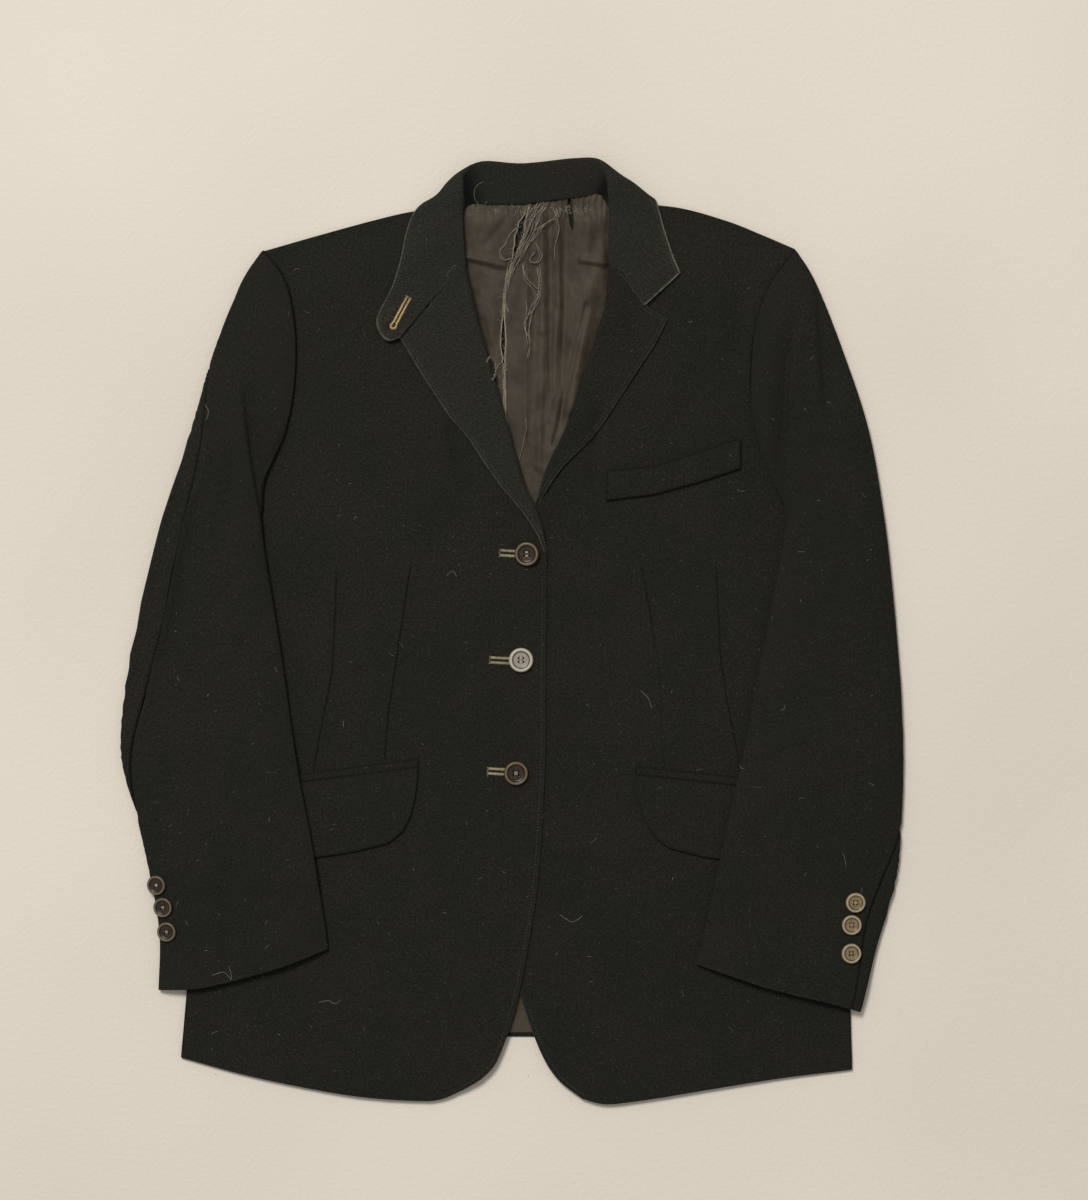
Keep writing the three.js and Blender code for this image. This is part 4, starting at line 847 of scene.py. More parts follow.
def lying(plan: Array, top: Height, cloth: float, worn: str = "", wear_width: float = 1.3,
          fade: Array | float = 1.0, sewn: str = "") -> Mesh:
    """Shell on plan points, with its upper side at a height function and its lower side straight below."""
    x, y = plan[..., 0], plan[..., 1]
    z = top(x, y)
    outer, inner = np.stack([x, y, z], axis=-1), np.stack([x, y, z - cloth], axis=-1)
    return shell(outer, inner, plan, worn, wear_width, fade, sewn)


def cap(sides: int) -> Array:
    """Faces that close a ring of points, as a fan from its first one. The last one may be a triangle."""
    k = np.arange(1, sides - 1, 2)
    return np.stack([0 * k, k, k + 1, np.minimum(k + 2, sides - 1)], axis=1)


def rings(count: int, sides: int) -> Array:
    """Faces between each of some rings of points and the next one."""
    a = np.arange(sides)
    b = (a + 1) % sides
    start = np.arange(count - 1)[:, None] * sides
    return np.stack([start + a, start + b, start + sides + b, start + sides + a], axis=-1).reshape(-1, 4)


def tubes(paths: Array, radius: Array | float, sides: int = 5) -> Mesh:
    """Tubes round many paths of the same number of points, closed by a narrower ring at both ends.

    Each ring is a circle across the path's direction, turned so that one of its axes lies level.

    Args:
        paths: points as tubes, points along each, and coordinates.
        radius: of all, or one for each tube.
        sides: of each ring.

    Returns:
        The mesh.
    """
    count, length = paths.shape[:2]
    along = unit(np.gradient(paths, axis=1))
    level = unit(np.cross(along, np.array([0.0, 0.0, 1.0])))
    up = np.cross(level, along)
    width = np.broadcast_to(np.asarray(radius, float).reshape(-1, 1), (count, length)).copy()
    width[:, [0, -1]] *= TUBE_END
    turn = np.arange(sides) * math.tau / sides
    ring = np.cos(turn)[:, None] * level[:, :, None, :] + np.sin(turn)[:, None] * up[:, :, None, :]
    points = (paths[:, :, None, :] + ring * width[:, :, None, None]).reshape(-1, 3)
    faces = np.concatenate([rings(length, sides), cap(sides)[:, ::-1], cap(sides) + (length - 1) * sides])
    faces = (np.arange(count)[:, None, None] * length * sides + faces).reshape(-1, 4)
    return Mesh(points, faces, points[:, :2], np.zeros(len(points)))


def ruled(rows: Table, names: tuple[str, str], ends: tuple[Table, Table], v: Array, u: Array,
          bends: tuple[float, float] = (0.16, 0.84)) -> Array:
    """Plan points between two side lines, with the first and the last section bent to a curve each.

    Args:
        rows: table of both lines.
        names: of the columns of the line where u is 0 and of the one where it is 1.
        ends: curves of the first and of the last section.
        v: place along the lines.
        u: place across.
        bends: how far the first bend reaches along, and where the last one starts.

    Returns:
        A plan point for each place.
    """
    def between(place: Array) -> Array:
        """Plan points between the two lines, before the bends."""
        return mix(rows.point(names[0], place), rows.point(names[1], place), u[..., None])

    first, last = ends
    first_bend = first.point("", u) - between(np.zeros_like(v))
    last_bend = last.point("", u) - between(np.ones_like(v))
    return (between(v) + first_bend * (1.0 - smooth(v, 0.0, bends[0]))[..., None]
            + last_bend * smooth(v, bends[1], 1.0)[..., None])


@dataclass
class Drape:
    """Finds the highest cloth under plan points, for stitches, threads and lint that lie on it."""

    pieces: Sequence[Piece]
    above: float = 0.1

    def __post_init__(self) -> None:
        """Gathers the pieces' faces in one tree."""
        points, faces, start = [], [], 0
        for piece in self.pieces:
            mesh = piece.data
            co = np.zeros(len(mesh.vertices) * 3, np.float32)
            mesh.vertices.foreach_get("co", co)
            corners = np.zeros(len(mesh.loops), np.int32)
            mesh.loops.foreach_get("vertex_index", corners)
            points.append(co.reshape(-1, 3))
            faces.append(corners.reshape(-1, 4) + start)
            start += len(mesh.vertices)
        self.tree = BVHTree.FromPolygons(np.concatenate(points).tolist(), np.concatenate(faces).tolist())

    def height(self, x: float, y: float) -> float:
        """Height of the highest cloth at a plan point, or of the table."""
        hit = self.tree.ray_cast(Vector((x * MM, y * MM, self.above)), Vector((0.0, 0.0, -1.0)))[0]
        return hit.z / MM if hit else 0.0

    def onto(self, plan: Array, lift: Array | float = 0.0) -> Array:
        """Points on the cloth at plan points, or lifted above it."""
        heights = np.array([self.height(x, y) for x, y in plan.reshape(-1, 2)]).reshape(plan.shape[:-1])
        return np.concatenate([plan, (heights + lift)[..., None]], axis=-1)


@dataclass(frozen=True)
class Cut:
    """A sheet's width and length in metres and its area in square metres, flat, before it is pressed."""

    width: float
    length: float
    area: float

    def lay(self, piece: Piece, *rests_on: str, held: str = "laid") -> Piece:
        """Returns the piece as it is."""
        return piece


@dataclass
class Front:
    """One front: a panel from the armhole and side seam to the front edge, with two darts."""

    side: str
    rows: Table
    shoulder: Table
    hem: Table
    darts: Sequence[Table]
    top: Height
    cut: Cut
    row_count: int = 250
    column_counts: tuple[int, ...] = (30, 30, 34, 6)
    dart_limits: tuple[tuple[float, float], ...] = ((0.2, 0.46), (0.5, 0.86))

    def columns(self, v: Array) -> Array:
        """Places across at which the columns lie in each row: they bunch up at both darts and at the edge."""
        left, right = self.rows.point("side", v), self.rows.point("edge", v)
        anchors = [np.zeros_like(v)]
        for line, (low, high) in zip(self.darts, self.dart_limits):
            share = np.full_like(v, 0.5)
            for _ in range(3):
                y = mix(left[:, 1], right[:, 1], share)
                share = (line.at_level("x", y) - left[:, 0]) / (right[:, 0] - left[:, 0])
            anchors.append(np.clip(share, low, high))
        anchors.append(1.0 - STITCH_INSET / np.linalg.norm(right - left, axis=-1))
        anchors.append(np.ones_like(v))
        parts = [anchors[0][:, None]]
        for start, end, count in zip(anchors[:-1], anchors[1:], self.column_counts):
            parts.append(mix(start[:, None], end[:, None], bunched(count, 0.9)[1:]))
        return np.concatenate(parts, axis=1)

    def build(self) -> Piece:
        """The panel."""
        v = bunched(self.row_count)
        u = self.columns(v)
        v = np.repeat(v[:, None], u.shape[1], axis=1)
        plan = ruled(self.rows, ("side", "edge"), (self.shoulder, self.hem), v, u)
        # The side seam is darkened with painted shade
        mesh = lying(plan, self.top, CLOTH, "e", PANEL_WEAR_WIDTH, PANEL_WEAR, "s")
        piece = mesh.place(f"front_panel_{self.side}", Finish.WOOL, "wool", [f"front_{self.side}"])
        return self.cut.lay(piece, "back")


@dataclass
class Back:
    """The back, which lies on the table, with its centre seam and two side-body seams on the underside."""

    cut: Cut = Cut(0.54, 0.70, 0.305)
    rows: int = 130
    columns: int = 110
    seams: tuple[float, ...] = (0.22, 0.5, 0.78)
    seam_width: float = 0.006
    seam_depth: float = 0.7

    def build(self) -> Piece:
        """The panel: its rows lie closer together towards the neck, where it rises."""
        v, u = np.meshgrid(bunched(self.rows) ** 1.35, bunched(self.columns, 0.4), indexing="ij")
        lines = Table(FRONT.replace("edge", "other"), tuple(
            (*right[:2], *left[:2]) for right, left in zip(RIGHT_FRONT.rows, LEFT_FRONT.rows)))
        plan = ruled(lines, ("side", "other"), (BACK_TOP, BACK_HEM), v, u)
        x, y = plan[..., 0], plan[..., 1]
        top = FORM.back_top(x, y)
        seams = sum(bell(u - at, self.seam_width) for at in self.seams)
        low = top - CLOTH + self.seam_depth * seams * smooth(y, -350.0, -300.0)
        mesh = shell(np.stack([x, y, top], axis=-1), np.stack([x, y, low], axis=-1), plan)
        return self.cut.lay(mesh.place("back_panel", Finish.WOOL, "wool", ["back"]))


@dataclass
class Lapel:
    """One lapel: turned in below its roll line, round the roll, and out over the front."""

    side: str
    lines: Table
    top: Height
    finish: Finish
    slot: str
    cut: Cut
    wear: float
    rows: int = 110
    turn_columns: int = 14
    fall_columns: int = 34
    wave: float = 0.35
    narrow: float = 0.45      # largest radius of the roll, as a share of the lapel's width
    edge_sink: float = 0.25
    edge_width: float = 5.0

    def build(self) -> Piece:
        """Section: a lip, a half circle of the roll's radius, then the front's height plus what the roll
        stands up, which dies out as a bell with the distance from it.
        """
        v = bunched(self.rows, 0.6)[:, None]
        roll, edge, y = (self.lines.straight(name, v) for name in ("roll", "edge", "y"))
        width, outward = np.abs(edge - roll), np.sign(edge - roll)
        radius = np.minimum(mix(ROLL_RADIUS, ROLL_RADIUS_LOW, v), self.narrow * width)
        lowest = self.top(roll, y) - CLOTH
        lip = (roll + outward * np.minimum(LAPEL_LIP, 0.9 * width), y, lowest)
        angle = np.linspace(0.0, math.pi, self.turn_columns)[None, :]
        turn = (roll + outward * radius * (1.0 - np.sin(angle)), y, lowest + radius * (1.0 - np.cos(angle)))
        reach = mix(radius, width, bunched(self.fall_columns, 0.6)[None, 1:])
        x = roll + outward * reach
        over = SEAM_GAP + LAY_EASE + LAPEL_CLOTH
        raised = lowest + 2.0 * radius - (self.top(roll, y) + over)
        z = (self.top(x, y) + over + raised * bell(reach - radius, ROLL_REACH)
             + self.wave * unevenness(x, y, 34.0, 3) - self.edge_sink * bell(width - reach, self.edge_width))
        outer = np.concatenate([np.stack(np.broadcast_arrays(*part), axis=-1)
                                for part in (lip, turn, (x, y, z))], axis=1)
        towards = -1.0 if self.lines.rows[0][1] > self.lines.rows[0][2] else 1.0
        inner = offset(outer, towards * LAPEL_CLOTH * 0.9)
        flat = np.stack([lengths_across(outer), outer[..., 1]], axis=-1)
        fade = smooth(np.abs(outer[..., 0] - roll) / width, 0.55, 0.95) * self.wear * 0.8
        mesh = shell(outer, inner, flat, "fe", 0.7, fade)
        piece = mesh.place(f"lapel_cloth_{self.side}", self.finish, self.slot, [f"lapel_{self.side}"])
        return self.cut.lay(piece, f"front_{self.side}")


def rounded_section(stations: Array, place: Array) -> Array:
    """Centripetal Catmull-Rom curve through four points of each station.

    The knots are the square roots of the distances between the points, and the ends are mirrored.

    Args:
        stations: points as stations, four, and coordinates.
        place: from 0 to 1 along each section.

    Returns:
        Points as stations, places, and coordinates.
    """
    before = 2.0 * stations[:, :1] - stations[:, 1:2]
    after = 2.0 * stations[:, -1:] - stations[:, -2:-1]
    knots = np.concatenate([before, stations, after], axis=1)
    gaps = np.sqrt(np.linalg.norm(np.diff(knots, axis=1), axis=-1))
    at = place * 3.0
    i = np.minimum(at.astype(int), 2)
    f = (at - i)[None, :, None]
    p0, p1, p2, p3 = (knots[:, i + k] for k in range(4))
    g0, g1, g2 = (gaps[:, i + k, None] for k in range(3))
    start = ((p1 - p0) / g0 - (p2 - p0) / (g0 + g1) + (p2 - p1) / g1) * g1
    end = ((p2 - p1) / g1 - (p3 - p1) / (g1 + g2) + (p3 - p2) / g2) * g1
    return p1 + f * (start + f * (3 * (p2 - p1) - 2 * start - end + f * (2 * (p1 - p2) + start + end)))


@dataclass
class Collar:
    """Stand and fall in one piece, swept round the neck through the stations of its table.

    The places along it go from 0 at the tab to 1 at the left notch, and those across it from 0 at the seam
    to 1 at the outer edge. Shade is painted on the stand, most of all at both ends of the neck.
    """

    cut: Cut = Cut(0.40, 0.075, 0.0205)
    rows: int = 230
    columns: int = 54
    right_wear: float = 0.55
    # Painted shade on the stand: over the neck, and more at both its ends
    neck_shade: float = 0.22
    end_shade: float = 0.6

    def build(self) -> Piece:
        """The collar: a rounded section at every place along the table's rows."""
        v = bunched(self.rows, 0.5)
        stations = []
        for name in ("seam", "fold", "mid", "edge"):
            x, y, z = (COLLAR.rounded(name + axis, v) for axis in "XYZ")
            front = np.where(x < 0, FORM.right_front_top(x, y), FORM.left_front_top(x, y))
            stations.append(np.stack([x, y, z + COLLAR.straight("on", v) * front], axis=-1))
        stations = np.stack(stations, axis=1)
        place = bunched(self.columns, 0.3)
        knots = np.minimum((place * 3.0).astype(int), 2)
        straight = mix(stations[:, knots], stations[:, knots + 1], (place * 3.0 - knots)[None, :, None])
        notched = (smooth(v, 0.955, 1.0)[:, None] * smooth(place, 0.3, 0.62)[None, :])[..., None]
        outer = mix(rounded_section(stations, place), straight, notched)
        outer[..., 2] = np.maximum(outer[..., 2], 0.0)
        inner = offset(outer, -COLLAR_CLOTH * 0.9)
        around = np.cumsum(np.linalg.norm(np.diff(outer[:, self.columns // 2], axis=0, prepend=0.0), axis=-1))
        flat = np.stack(np.broadcast_arrays(lengths_across(outer), around[:, None]), axis=-1)
        wear = smooth(place, 0.6, 0.72)[None, :] * mix(self.right_wear, 1.0, smooth(v, 0.7, 0.76)[:, None])
        mesh = shell(outer, inner, flat, "le", 0.75, wear)
        # Painted shade on the stand, as wear below zero
        shade = self.shade(v)[:, None] * (1.0 - smooth(place, 0.26, 0.31))[None, :]
        mesh.wear[:shade.size] -= shade.ravel()
        piece = mesh.place("collar_cloth", Finish.COLLAR_WOOL, "collar_wool", ["collar"])
        return self.cut.lay(piece, "front_right", "front_left", held="folded")

    def shade(self, v: Array) -> Array:
        """How much painted shade darkens the stand at places along the collar."""
        neck = smooth(v, 0.36, 0.42) * (1.0 - smooth(v, 0.78, 0.84))
        ends = (1.0 - smooth(v, 0.46, 0.53)) + smooth(v, 0.68, 0.73)
        ends = ends * smooth(v, 0.36, 0.40) * (1.0 - smooth(v, 0.80, 0.84))
        return self.neck_shade * neck + self.end_shade * ends


@dataclass
class PocketPiece:
    """A welt, flap or jetting: a strip between an upper and a lower line that lies on a front."""

    name: str
    node: str
    lines: Table
    top: Height
    cloth: float
    cut: Cut
    rests_on: str
    swell: float = 0.3
    swell_width: float = 2.5
    rows: int = 60
    columns: int = 24

    def build(self) -> Piece:
        """The strip, with its upper side swollen a little between its edges."""
        v, u = np.meshgrid(bunched(self.rows, 0.6), bunched(self.columns, 0.7), indexing="ij")
        x = self.lines.straight("x", v)
        plan = np.stack([x, mix(self.lines.straight("top", v), self.lines.straight("bottom", v), u)], axis=-1)
        grid = np.concatenate([plan, np.zeros_like(plan[..., :1])], axis=-1)
        inside = 1.0 - np.exp(-from_edges(grid, "fse") / self.swell_width)

        def height(x: Array, y: Array) -> Array:
            """Upper side of the strip."""
            return self.top(x, y) + SEAM_GAP + LAY_EASE + self.cloth + self.swell * (inside - 1.0)

        # Painted shade along all the strip's edges
        mesh = lying(plan, height, self.cloth, sewn="sefl")
        return self.cut.lay(mesh.place(self.name, Finish.WOOL, "wool", [self.node]), self.rests_on)


@dataclass
class Sleeve:
    """One two-piece sleeve, pressed flat: an upper piece from the hind-arm seam to the forearm seam and an
    under piece for the rest of the way round.

    Places round it go from 0 at the outer edge over the top to 1 at the inner edge, and on under it to 2.
    """

    side: str
    sign: float
    rows: Table
    armhole: Table
    cuff: Table
    body: Table
    top_cut: Cut
    under_cut: Cut
    sections: int = 210
    step: float = 0.004
    armpit_row: int = 6
    armpit_slope: float = 0.9
    bends: tuple[float, float] = (0.3, 0.85)
    middle: float = 0.42     # height of both edges above what the sleeve lies on, as a share of its height
    rest_share: float = 0.45  # of what it lies on that its crown doesn't rise by
    waves: tuple[tuple[float, float, int], ...] = ((0.4, 58.0, 23), (0.12, 19.0, 9))  # height, length, seed
    seam_depth: float = 0.7
    seam_width: float = 1.1
    length: float = 560.0
    top_columns: int = 72
    under_columns: int = 60

    def rest(self, x: Array, y: Array) -> Array:
        """Height of what the sleeve lies on: the table, then up over the body's side and the hip pocket."""
        armpit = self.body.rows[self.armpit_row][1]
        side = self.body.below(self.armpit_row).at_level("sideX", y, "sideY")
        seam = side - self.sign * np.maximum(0.0, y - armpit) * self.armpit_slope
        pocket = (SEAM_GAP + LAY_EASE + FLAP_CLOTH) * smooth(y, POCKET_BOTTOM - POCKET_RAMP, POCKET_BOTTOM)
        pocket = pocket * (1.0 - smooth(y, POCKET_TOP, POCKET_TOP + POCKET_RAMP))
        under = np.maximum(FORM.left_front_top(x, y), FORM.left_front_top(seam, y))
        climb = smooth((seam - x) * self.sign, -2.0 * SLEEVE_RAMP, -SLEEVE_RAMP)
        return (under + SEAM_GAP + LAY_EASE + pocket) * climb

    def trough(self, x: Array, y: Array, along: Array, crown: Array) -> Array:
        """Depth of the sleeve's creases and laps, which never take away all of its crown."""
        fine = creases(FINE_SLEEVE_CREASES, x, y)
        for high, length, seed in self.waves:
            fine = fine - high * unevenness(x, y, length, seed)
        fine = fine * smooth(crown, 1.0, 4.0) * smooth(along, 0.0, 0.05)
        trough = np.minimum(creases(SLEEVE_TROUGHS, x, y) + fine, 0.5 * crown)
        laps = SLEEVE_LAPS[0 if self.sign < 0 else 1::2]
        lap = sum(lap.depth(x, y) for lap in laps) * smooth(crown, 0.5, 3.0)
        return np.minimum(trough + lap, 0.85 * crown)

    def at(self, along: Array, round_: Array) -> Array:
        """Points of the sleeve's surface.

        The plan lies between the outer and the inner edge, bent to the armhole and to the cuff. The height is
        the middle line at both edges, a quarter ellipse up from each edge on top, and down to what the sleeve
        lies on underneath.

        Args:
            along: from 0 at the armhole to 1 at the cuff.
            round_: place round the sleeve.

        Returns:
            A point for each place.
        """
        across = np.where(round_ < 0, -round_, np.where(round_ > 1, np.abs(2.0 - round_), round_))
        on_top = ((round_ >= 0) & (round_ <= 1)) | (round_ > 2)
        outer, inner = self.rows.point("outer", along), self.rows.point("inner", along)
        plan = ruled(self.rows, ("outer", "inner"), (self.armhole, self.cuff), along, across, self.bends)
        x, y = plan[..., 0], plan[..., 1]
        width = np.linalg.norm(outer - inner, axis=-1)
        from_edge = np.minimum(across, 1.0 - across) * width
        even = mix(self.rest(outer[..., 0], outer[..., 1]), self.rest(inner[..., 0], inner[..., 1]), across)
        height = self.rows.rounded("height", along) - self.rest_share * even
        middle = self.middle * height
        under = np.where(from_edge > 0, self.rest(x, y), even)
        low = mix(under, even + middle, 1.0 - quarter_ellipse(from_edge / SLEEVE_EDGE))
        crown = (height - middle) * quarter_ellipse(from_edge / (SLEEVE_CROWN * width))
        high = even + middle + crown - self.trough(x, y, along, crown)
        return np.stack([x, y, np.where(on_top, high, low)], axis=-1)

    def normal(self, along: Array, round_: Array) -> Array:
        """Outward directions, from the steps to the next places along and round the sleeve."""
        down = (self.at(np.minimum(along + self.step, 1.0), round_)
                - self.at(np.maximum(along - self.step, 0.0), round_))
        over = self.at(along, round_ + self.step) - self.at(along, round_ - self.step)
        return -self.sign * unit(np.cross(down, over))

    def wall(self, start: Array, end: Array, columns: int, bunching: float) -> Mesh:
        """Shell between two places round the sleeve, which sinks into the seams at its edges."""
        share = bunched(columns, bunching)[None, :]
        along = bunched(self.sections, 0.5)[:, None] + 0.0 * share
        round_ = mix(start, end, share)
        outer, normal = self.at(along, round_), self.normal(along, round_)
        valley = self.seam_depth * bell(from_edges(outer, "sef"), self.seam_width)
        outer = outer - valley[..., None] * normal
        width = np.linalg.norm(self.rows.point("outer", along) - self.rows.point("inner", along), axis=-1)
        flat = np.stack([round_ * width, along * self.length], axis=-1)
        # Painted shade along both seams and at the armhole
        return shell(outer, outer - CLOTH * 0.85 * normal, flat, "l", PANEL_WEAR_WIDTH, PANEL_WEAR, "sef")

    def build(self) -> list[Piece]:
        """Both pieces."""
        seam = self.rows.rounded("seam", bunched(self.sections, 0.5)[:, None])
        walls = (("top", self.wall(seam, 1.0, self.top_columns, 0.85), self.top_cut),
                 ("under", self.wall(1.0 + SEAM_PLACE, 2.0 + seam - SEAM_PLACE, self.under_columns, 0.8),
                  self.under_cut))
        return [cut.lay(mesh.place(f"{kind}_sleeve_{self.side}", Finish.WOOL, "wool",
                                   [f"sleeve_{kind}_{self.side}"]), f"front_{self.side}")
                for kind, mesh, cut in walls]


LINING_EDGES = Table("y right left", (
    (352, -41, 76), (343.4, -44, 78), (338, -46, 80), (332, -46, 80), (319.2, -46, 80), (295.2, -46, 82),
    (264.8, -40, 81.2), (232.8, -31, 73.6), (200.8, -22, 64), (168.8, -12.6, 53.6), (140.8, -4, 40.8),
    (111.2, 6.8, 30), (98, 10, 30)))
# Folds of the neck lining, ridges where the depth is below zero
LINING_FOLDS = Table(FOLD, (
    (24, 340, 25, 240, 2.6, -2.0), (25, 240, 22, 132, 3.4, -1.6), (36, 338, 38, 262, 2.4, -1.8),
    (38, 262, 30, 170, 3.2, -1.4), (62, 330, 50, 176.8, 5.4, -1.6), (71, 300, 30.4, 130, 7.5, -2.6),
    (12.4, 320, 11, 150, 1.6, -0.8), (-17.2, 264.8, -9.2, 176.8, 6, -1.2),
    (-38, 300, -6, 293, 2.2, -1.8), (-40, 296, -8, 288, 2.2, 1.2), (56, 297, 80, 293, 2.4, -1.8),
    (56, 293, 80, 289, 2.4, 1.2), (30.5, 336, 31.6, 190, 1.8, 1.8), (44, 330, 40, 160, 3.0, 1.5),
    (60, 260, 34, 150, 2.6, 2.0), (-30, 270, -14, 200, 4, 0.9), (19, 300, 18, 220, 3.4, 0.9),
    (-4, 330, -20, 310, 3, 0.8)))
# Where the lining has torn: the middle of the gap between the right and the middle strip, and its width
TEAR = Table("y x gap", (
    (352, 16, 0.8), (341, 13.5, 0.9), (333, 11.4, 1.4), (328, 9.0, 4.2), (316, 6.2, 6.4), (306, 3.6, 3.0),
    (296, 1.0, 1.2), (284, -2.2, 0.5), (270, -5.6, 0.6), (252, -6.4, 0.7), (244, -6.6, 2.4),
    (230, -6.6, 3.8), (220, -6.4, 1.6), (206, -6.0, 0.7), (172.8, -5.2, 0.5), (150, -0.5, 0.4),
    (98, 13, 0.4)))
# And the pleat between the middle and the left strip, open at its upper end
PLEAT = Table("y x gap", (
    (352, 46, 1.0), (342, 46.6, 3.6), (336, 47.2, 4.4), (326, 48.2, 3.6), (320, 48.8, 0.6), (312, 49.4, -1.6),
    (280, 50.4, -2.4), (220, 47.6, -2.4), (160, 33, -1.8), (98, 20, -1.0)))
HEM_LINING = Table("y right left", ((-264.8, -9.2, 29.2), (-295.2, -15.6, 35.6), (-321.6, -18.8, 40.4)))


@dataclass
class NeckLining:
    """The worn back lining: three strips side by side, torn apart between the first two and pleated between
    the others.
    """

    cuts: tuple[Cut, ...] = (Cut(0.062, 0.235, 0.0062), Cut(0.058, 0.235, 0.0112), Cut(0.064, 0.235, 0.0063))
    rows: int = 190
    columns: int = 54
    levels: tuple[float, float] = (350.0, 98.0)
    lifts: tuple[float, ...] = (0.0, 0.7, 1.2)
    ease: float = 0.4
    deepest: float = 1.9
    fold_depth: float = 1.6
    neck: tuple[float, float] = (326.0, 342.0)          # levels between which the folds die out
    pucker_levels: tuple[float, float] = (322.0, 341.0)

    def top(self, x: Array, y: Array, lift: float) -> Array:
        """Height of the lining: the back, its ease and its folds, which die out at the neck seam."""
        right, left = (LINING_EDGES.at_level(side, y) for side in ("right", "left"))
        inside = smooth(np.minimum(x - right, left - x), 1.0, 9.0)
        neck = smooth(y, *self.neck)
        low = FORM.back_top(x, y) + SEAM_GAP + self.ease + LINING_CLOTH + lift * (1.0 - neck) - 0.6 * neck
        fold = np.maximum(-self.fold_depth * creases(LINING_FOLDS, x, y), -self.deepest)
        waves = np.sin(x * 1.35 + 1.4 * unevenness(x, y, 18.0, 8))
        pucker = 0.5 * waves * smooth(y, *self.pucker_levels)
        rough = 0.45 * unevenness(x, y, 17.0, 31) + 0.2 * unevenness(x, y, 7.0, 32)
        return low + (fold + self.fold_depth) * inside * (1.0 - 0.85 * neck) + pucker + rough * inside

    def strip(self, start: Array, end: Array, y: Array, lift: float, worn: str) -> Mesh:
        """One strip between two lines.

        Args:
            start, end: x of both lines for each level.
            y: the levels.
            lift: how far it lies above the others.
            worn: letters of its frayed edges.

        Returns:
            The strip's shell.
        """
        share = bunched(self.columns, 0.75)[None, :]
        x = mix(start[:, None], end[:, None], share)
        plan = np.stack([x, y[:, None] + 0.0 * x], axis=-1)
        return lying(plan, lambda a, b: self.top(a, b, lift), LINING_CLOTH, worn, 0.9)

    def build(self) -> list[Piece]:
        """The three strips."""
        y = mix(*self.levels, bunched(self.rows, 0.5))
        right, left = (LINING_EDGES.at_level(side, y) for side in ("right", "left"))
        tear, tear_gap = (TEAR.at_level(name, y) for name in ("x", "gap"))
        pleat, pleat_gap = (PLEAT.at_level(name, y) for name in ("x", "gap"))
        ragged = 0.35 * unevenness(y, 0.0 * y, 5.0, 41) + 0.3 * unevenness(y, 0.0 * y, 2.2, 42)
        strips = (
            ("right", right, tear - tear_gap / 2 + ragged, "e"),
            ("middle", tear + tear_gap / 2 + 0.6 * ragged, pleat - pleat_gap / 2, "s"),
            ("left", pleat + pleat_gap / 2, left, ""))
        pieces = []
        for (name, start, end, worn), lift, cut in zip(strips, self.lifts, self.cuts):
            mesh = self.strip(start, np.maximum(end, start + 2.0), y, lift, worn)
            piece = mesh.place(f"neck_lining_{name}", Finish.LINING, "lining", ["back_lining_neck"])
            pieces.append(cut.lay(piece, "back"))
        return pieces


def hem_lining() -> Piece:
    """The bit of lining that shows between the fronts above the back's hem."""
    v, u = np.meshgrid(bunched(30, 0.4), bunched(26, 0.4), indexing="ij")
    right, left, y = (HEM_LINING.rounded(name, v) for name in ("right", "left", "y"))
    plan = np.stack([mix(right, left, u), y], axis=-1)

    def height(x: Array, y: Array) -> Array:
        """Upper side of the lining."""
        return FORM.back_top(x, y) + SEAM_GAP + 0.5 + LINING_CLOTH + 0.25 * unevenness(x, y, 16.0, 77)

    mesh = lying(plan, height, LINING_CLOTH)
    piece = mesh.place("hem_lining", Finish.LINING, "lining", ["back_lining_hem"])
    return Cut(0.06, 0.057, 0.0028).lay(piece, "back")


def spaced(points: Array, count: int) -> Array:
    """As many points as wanted at even places of a list of points, straight between them."""
    at = np.linspace(0, len(points) - 1, count)
    return np.stack([np.interp(at, np.arange(len(points)), column) for column in points.T], axis=-1)


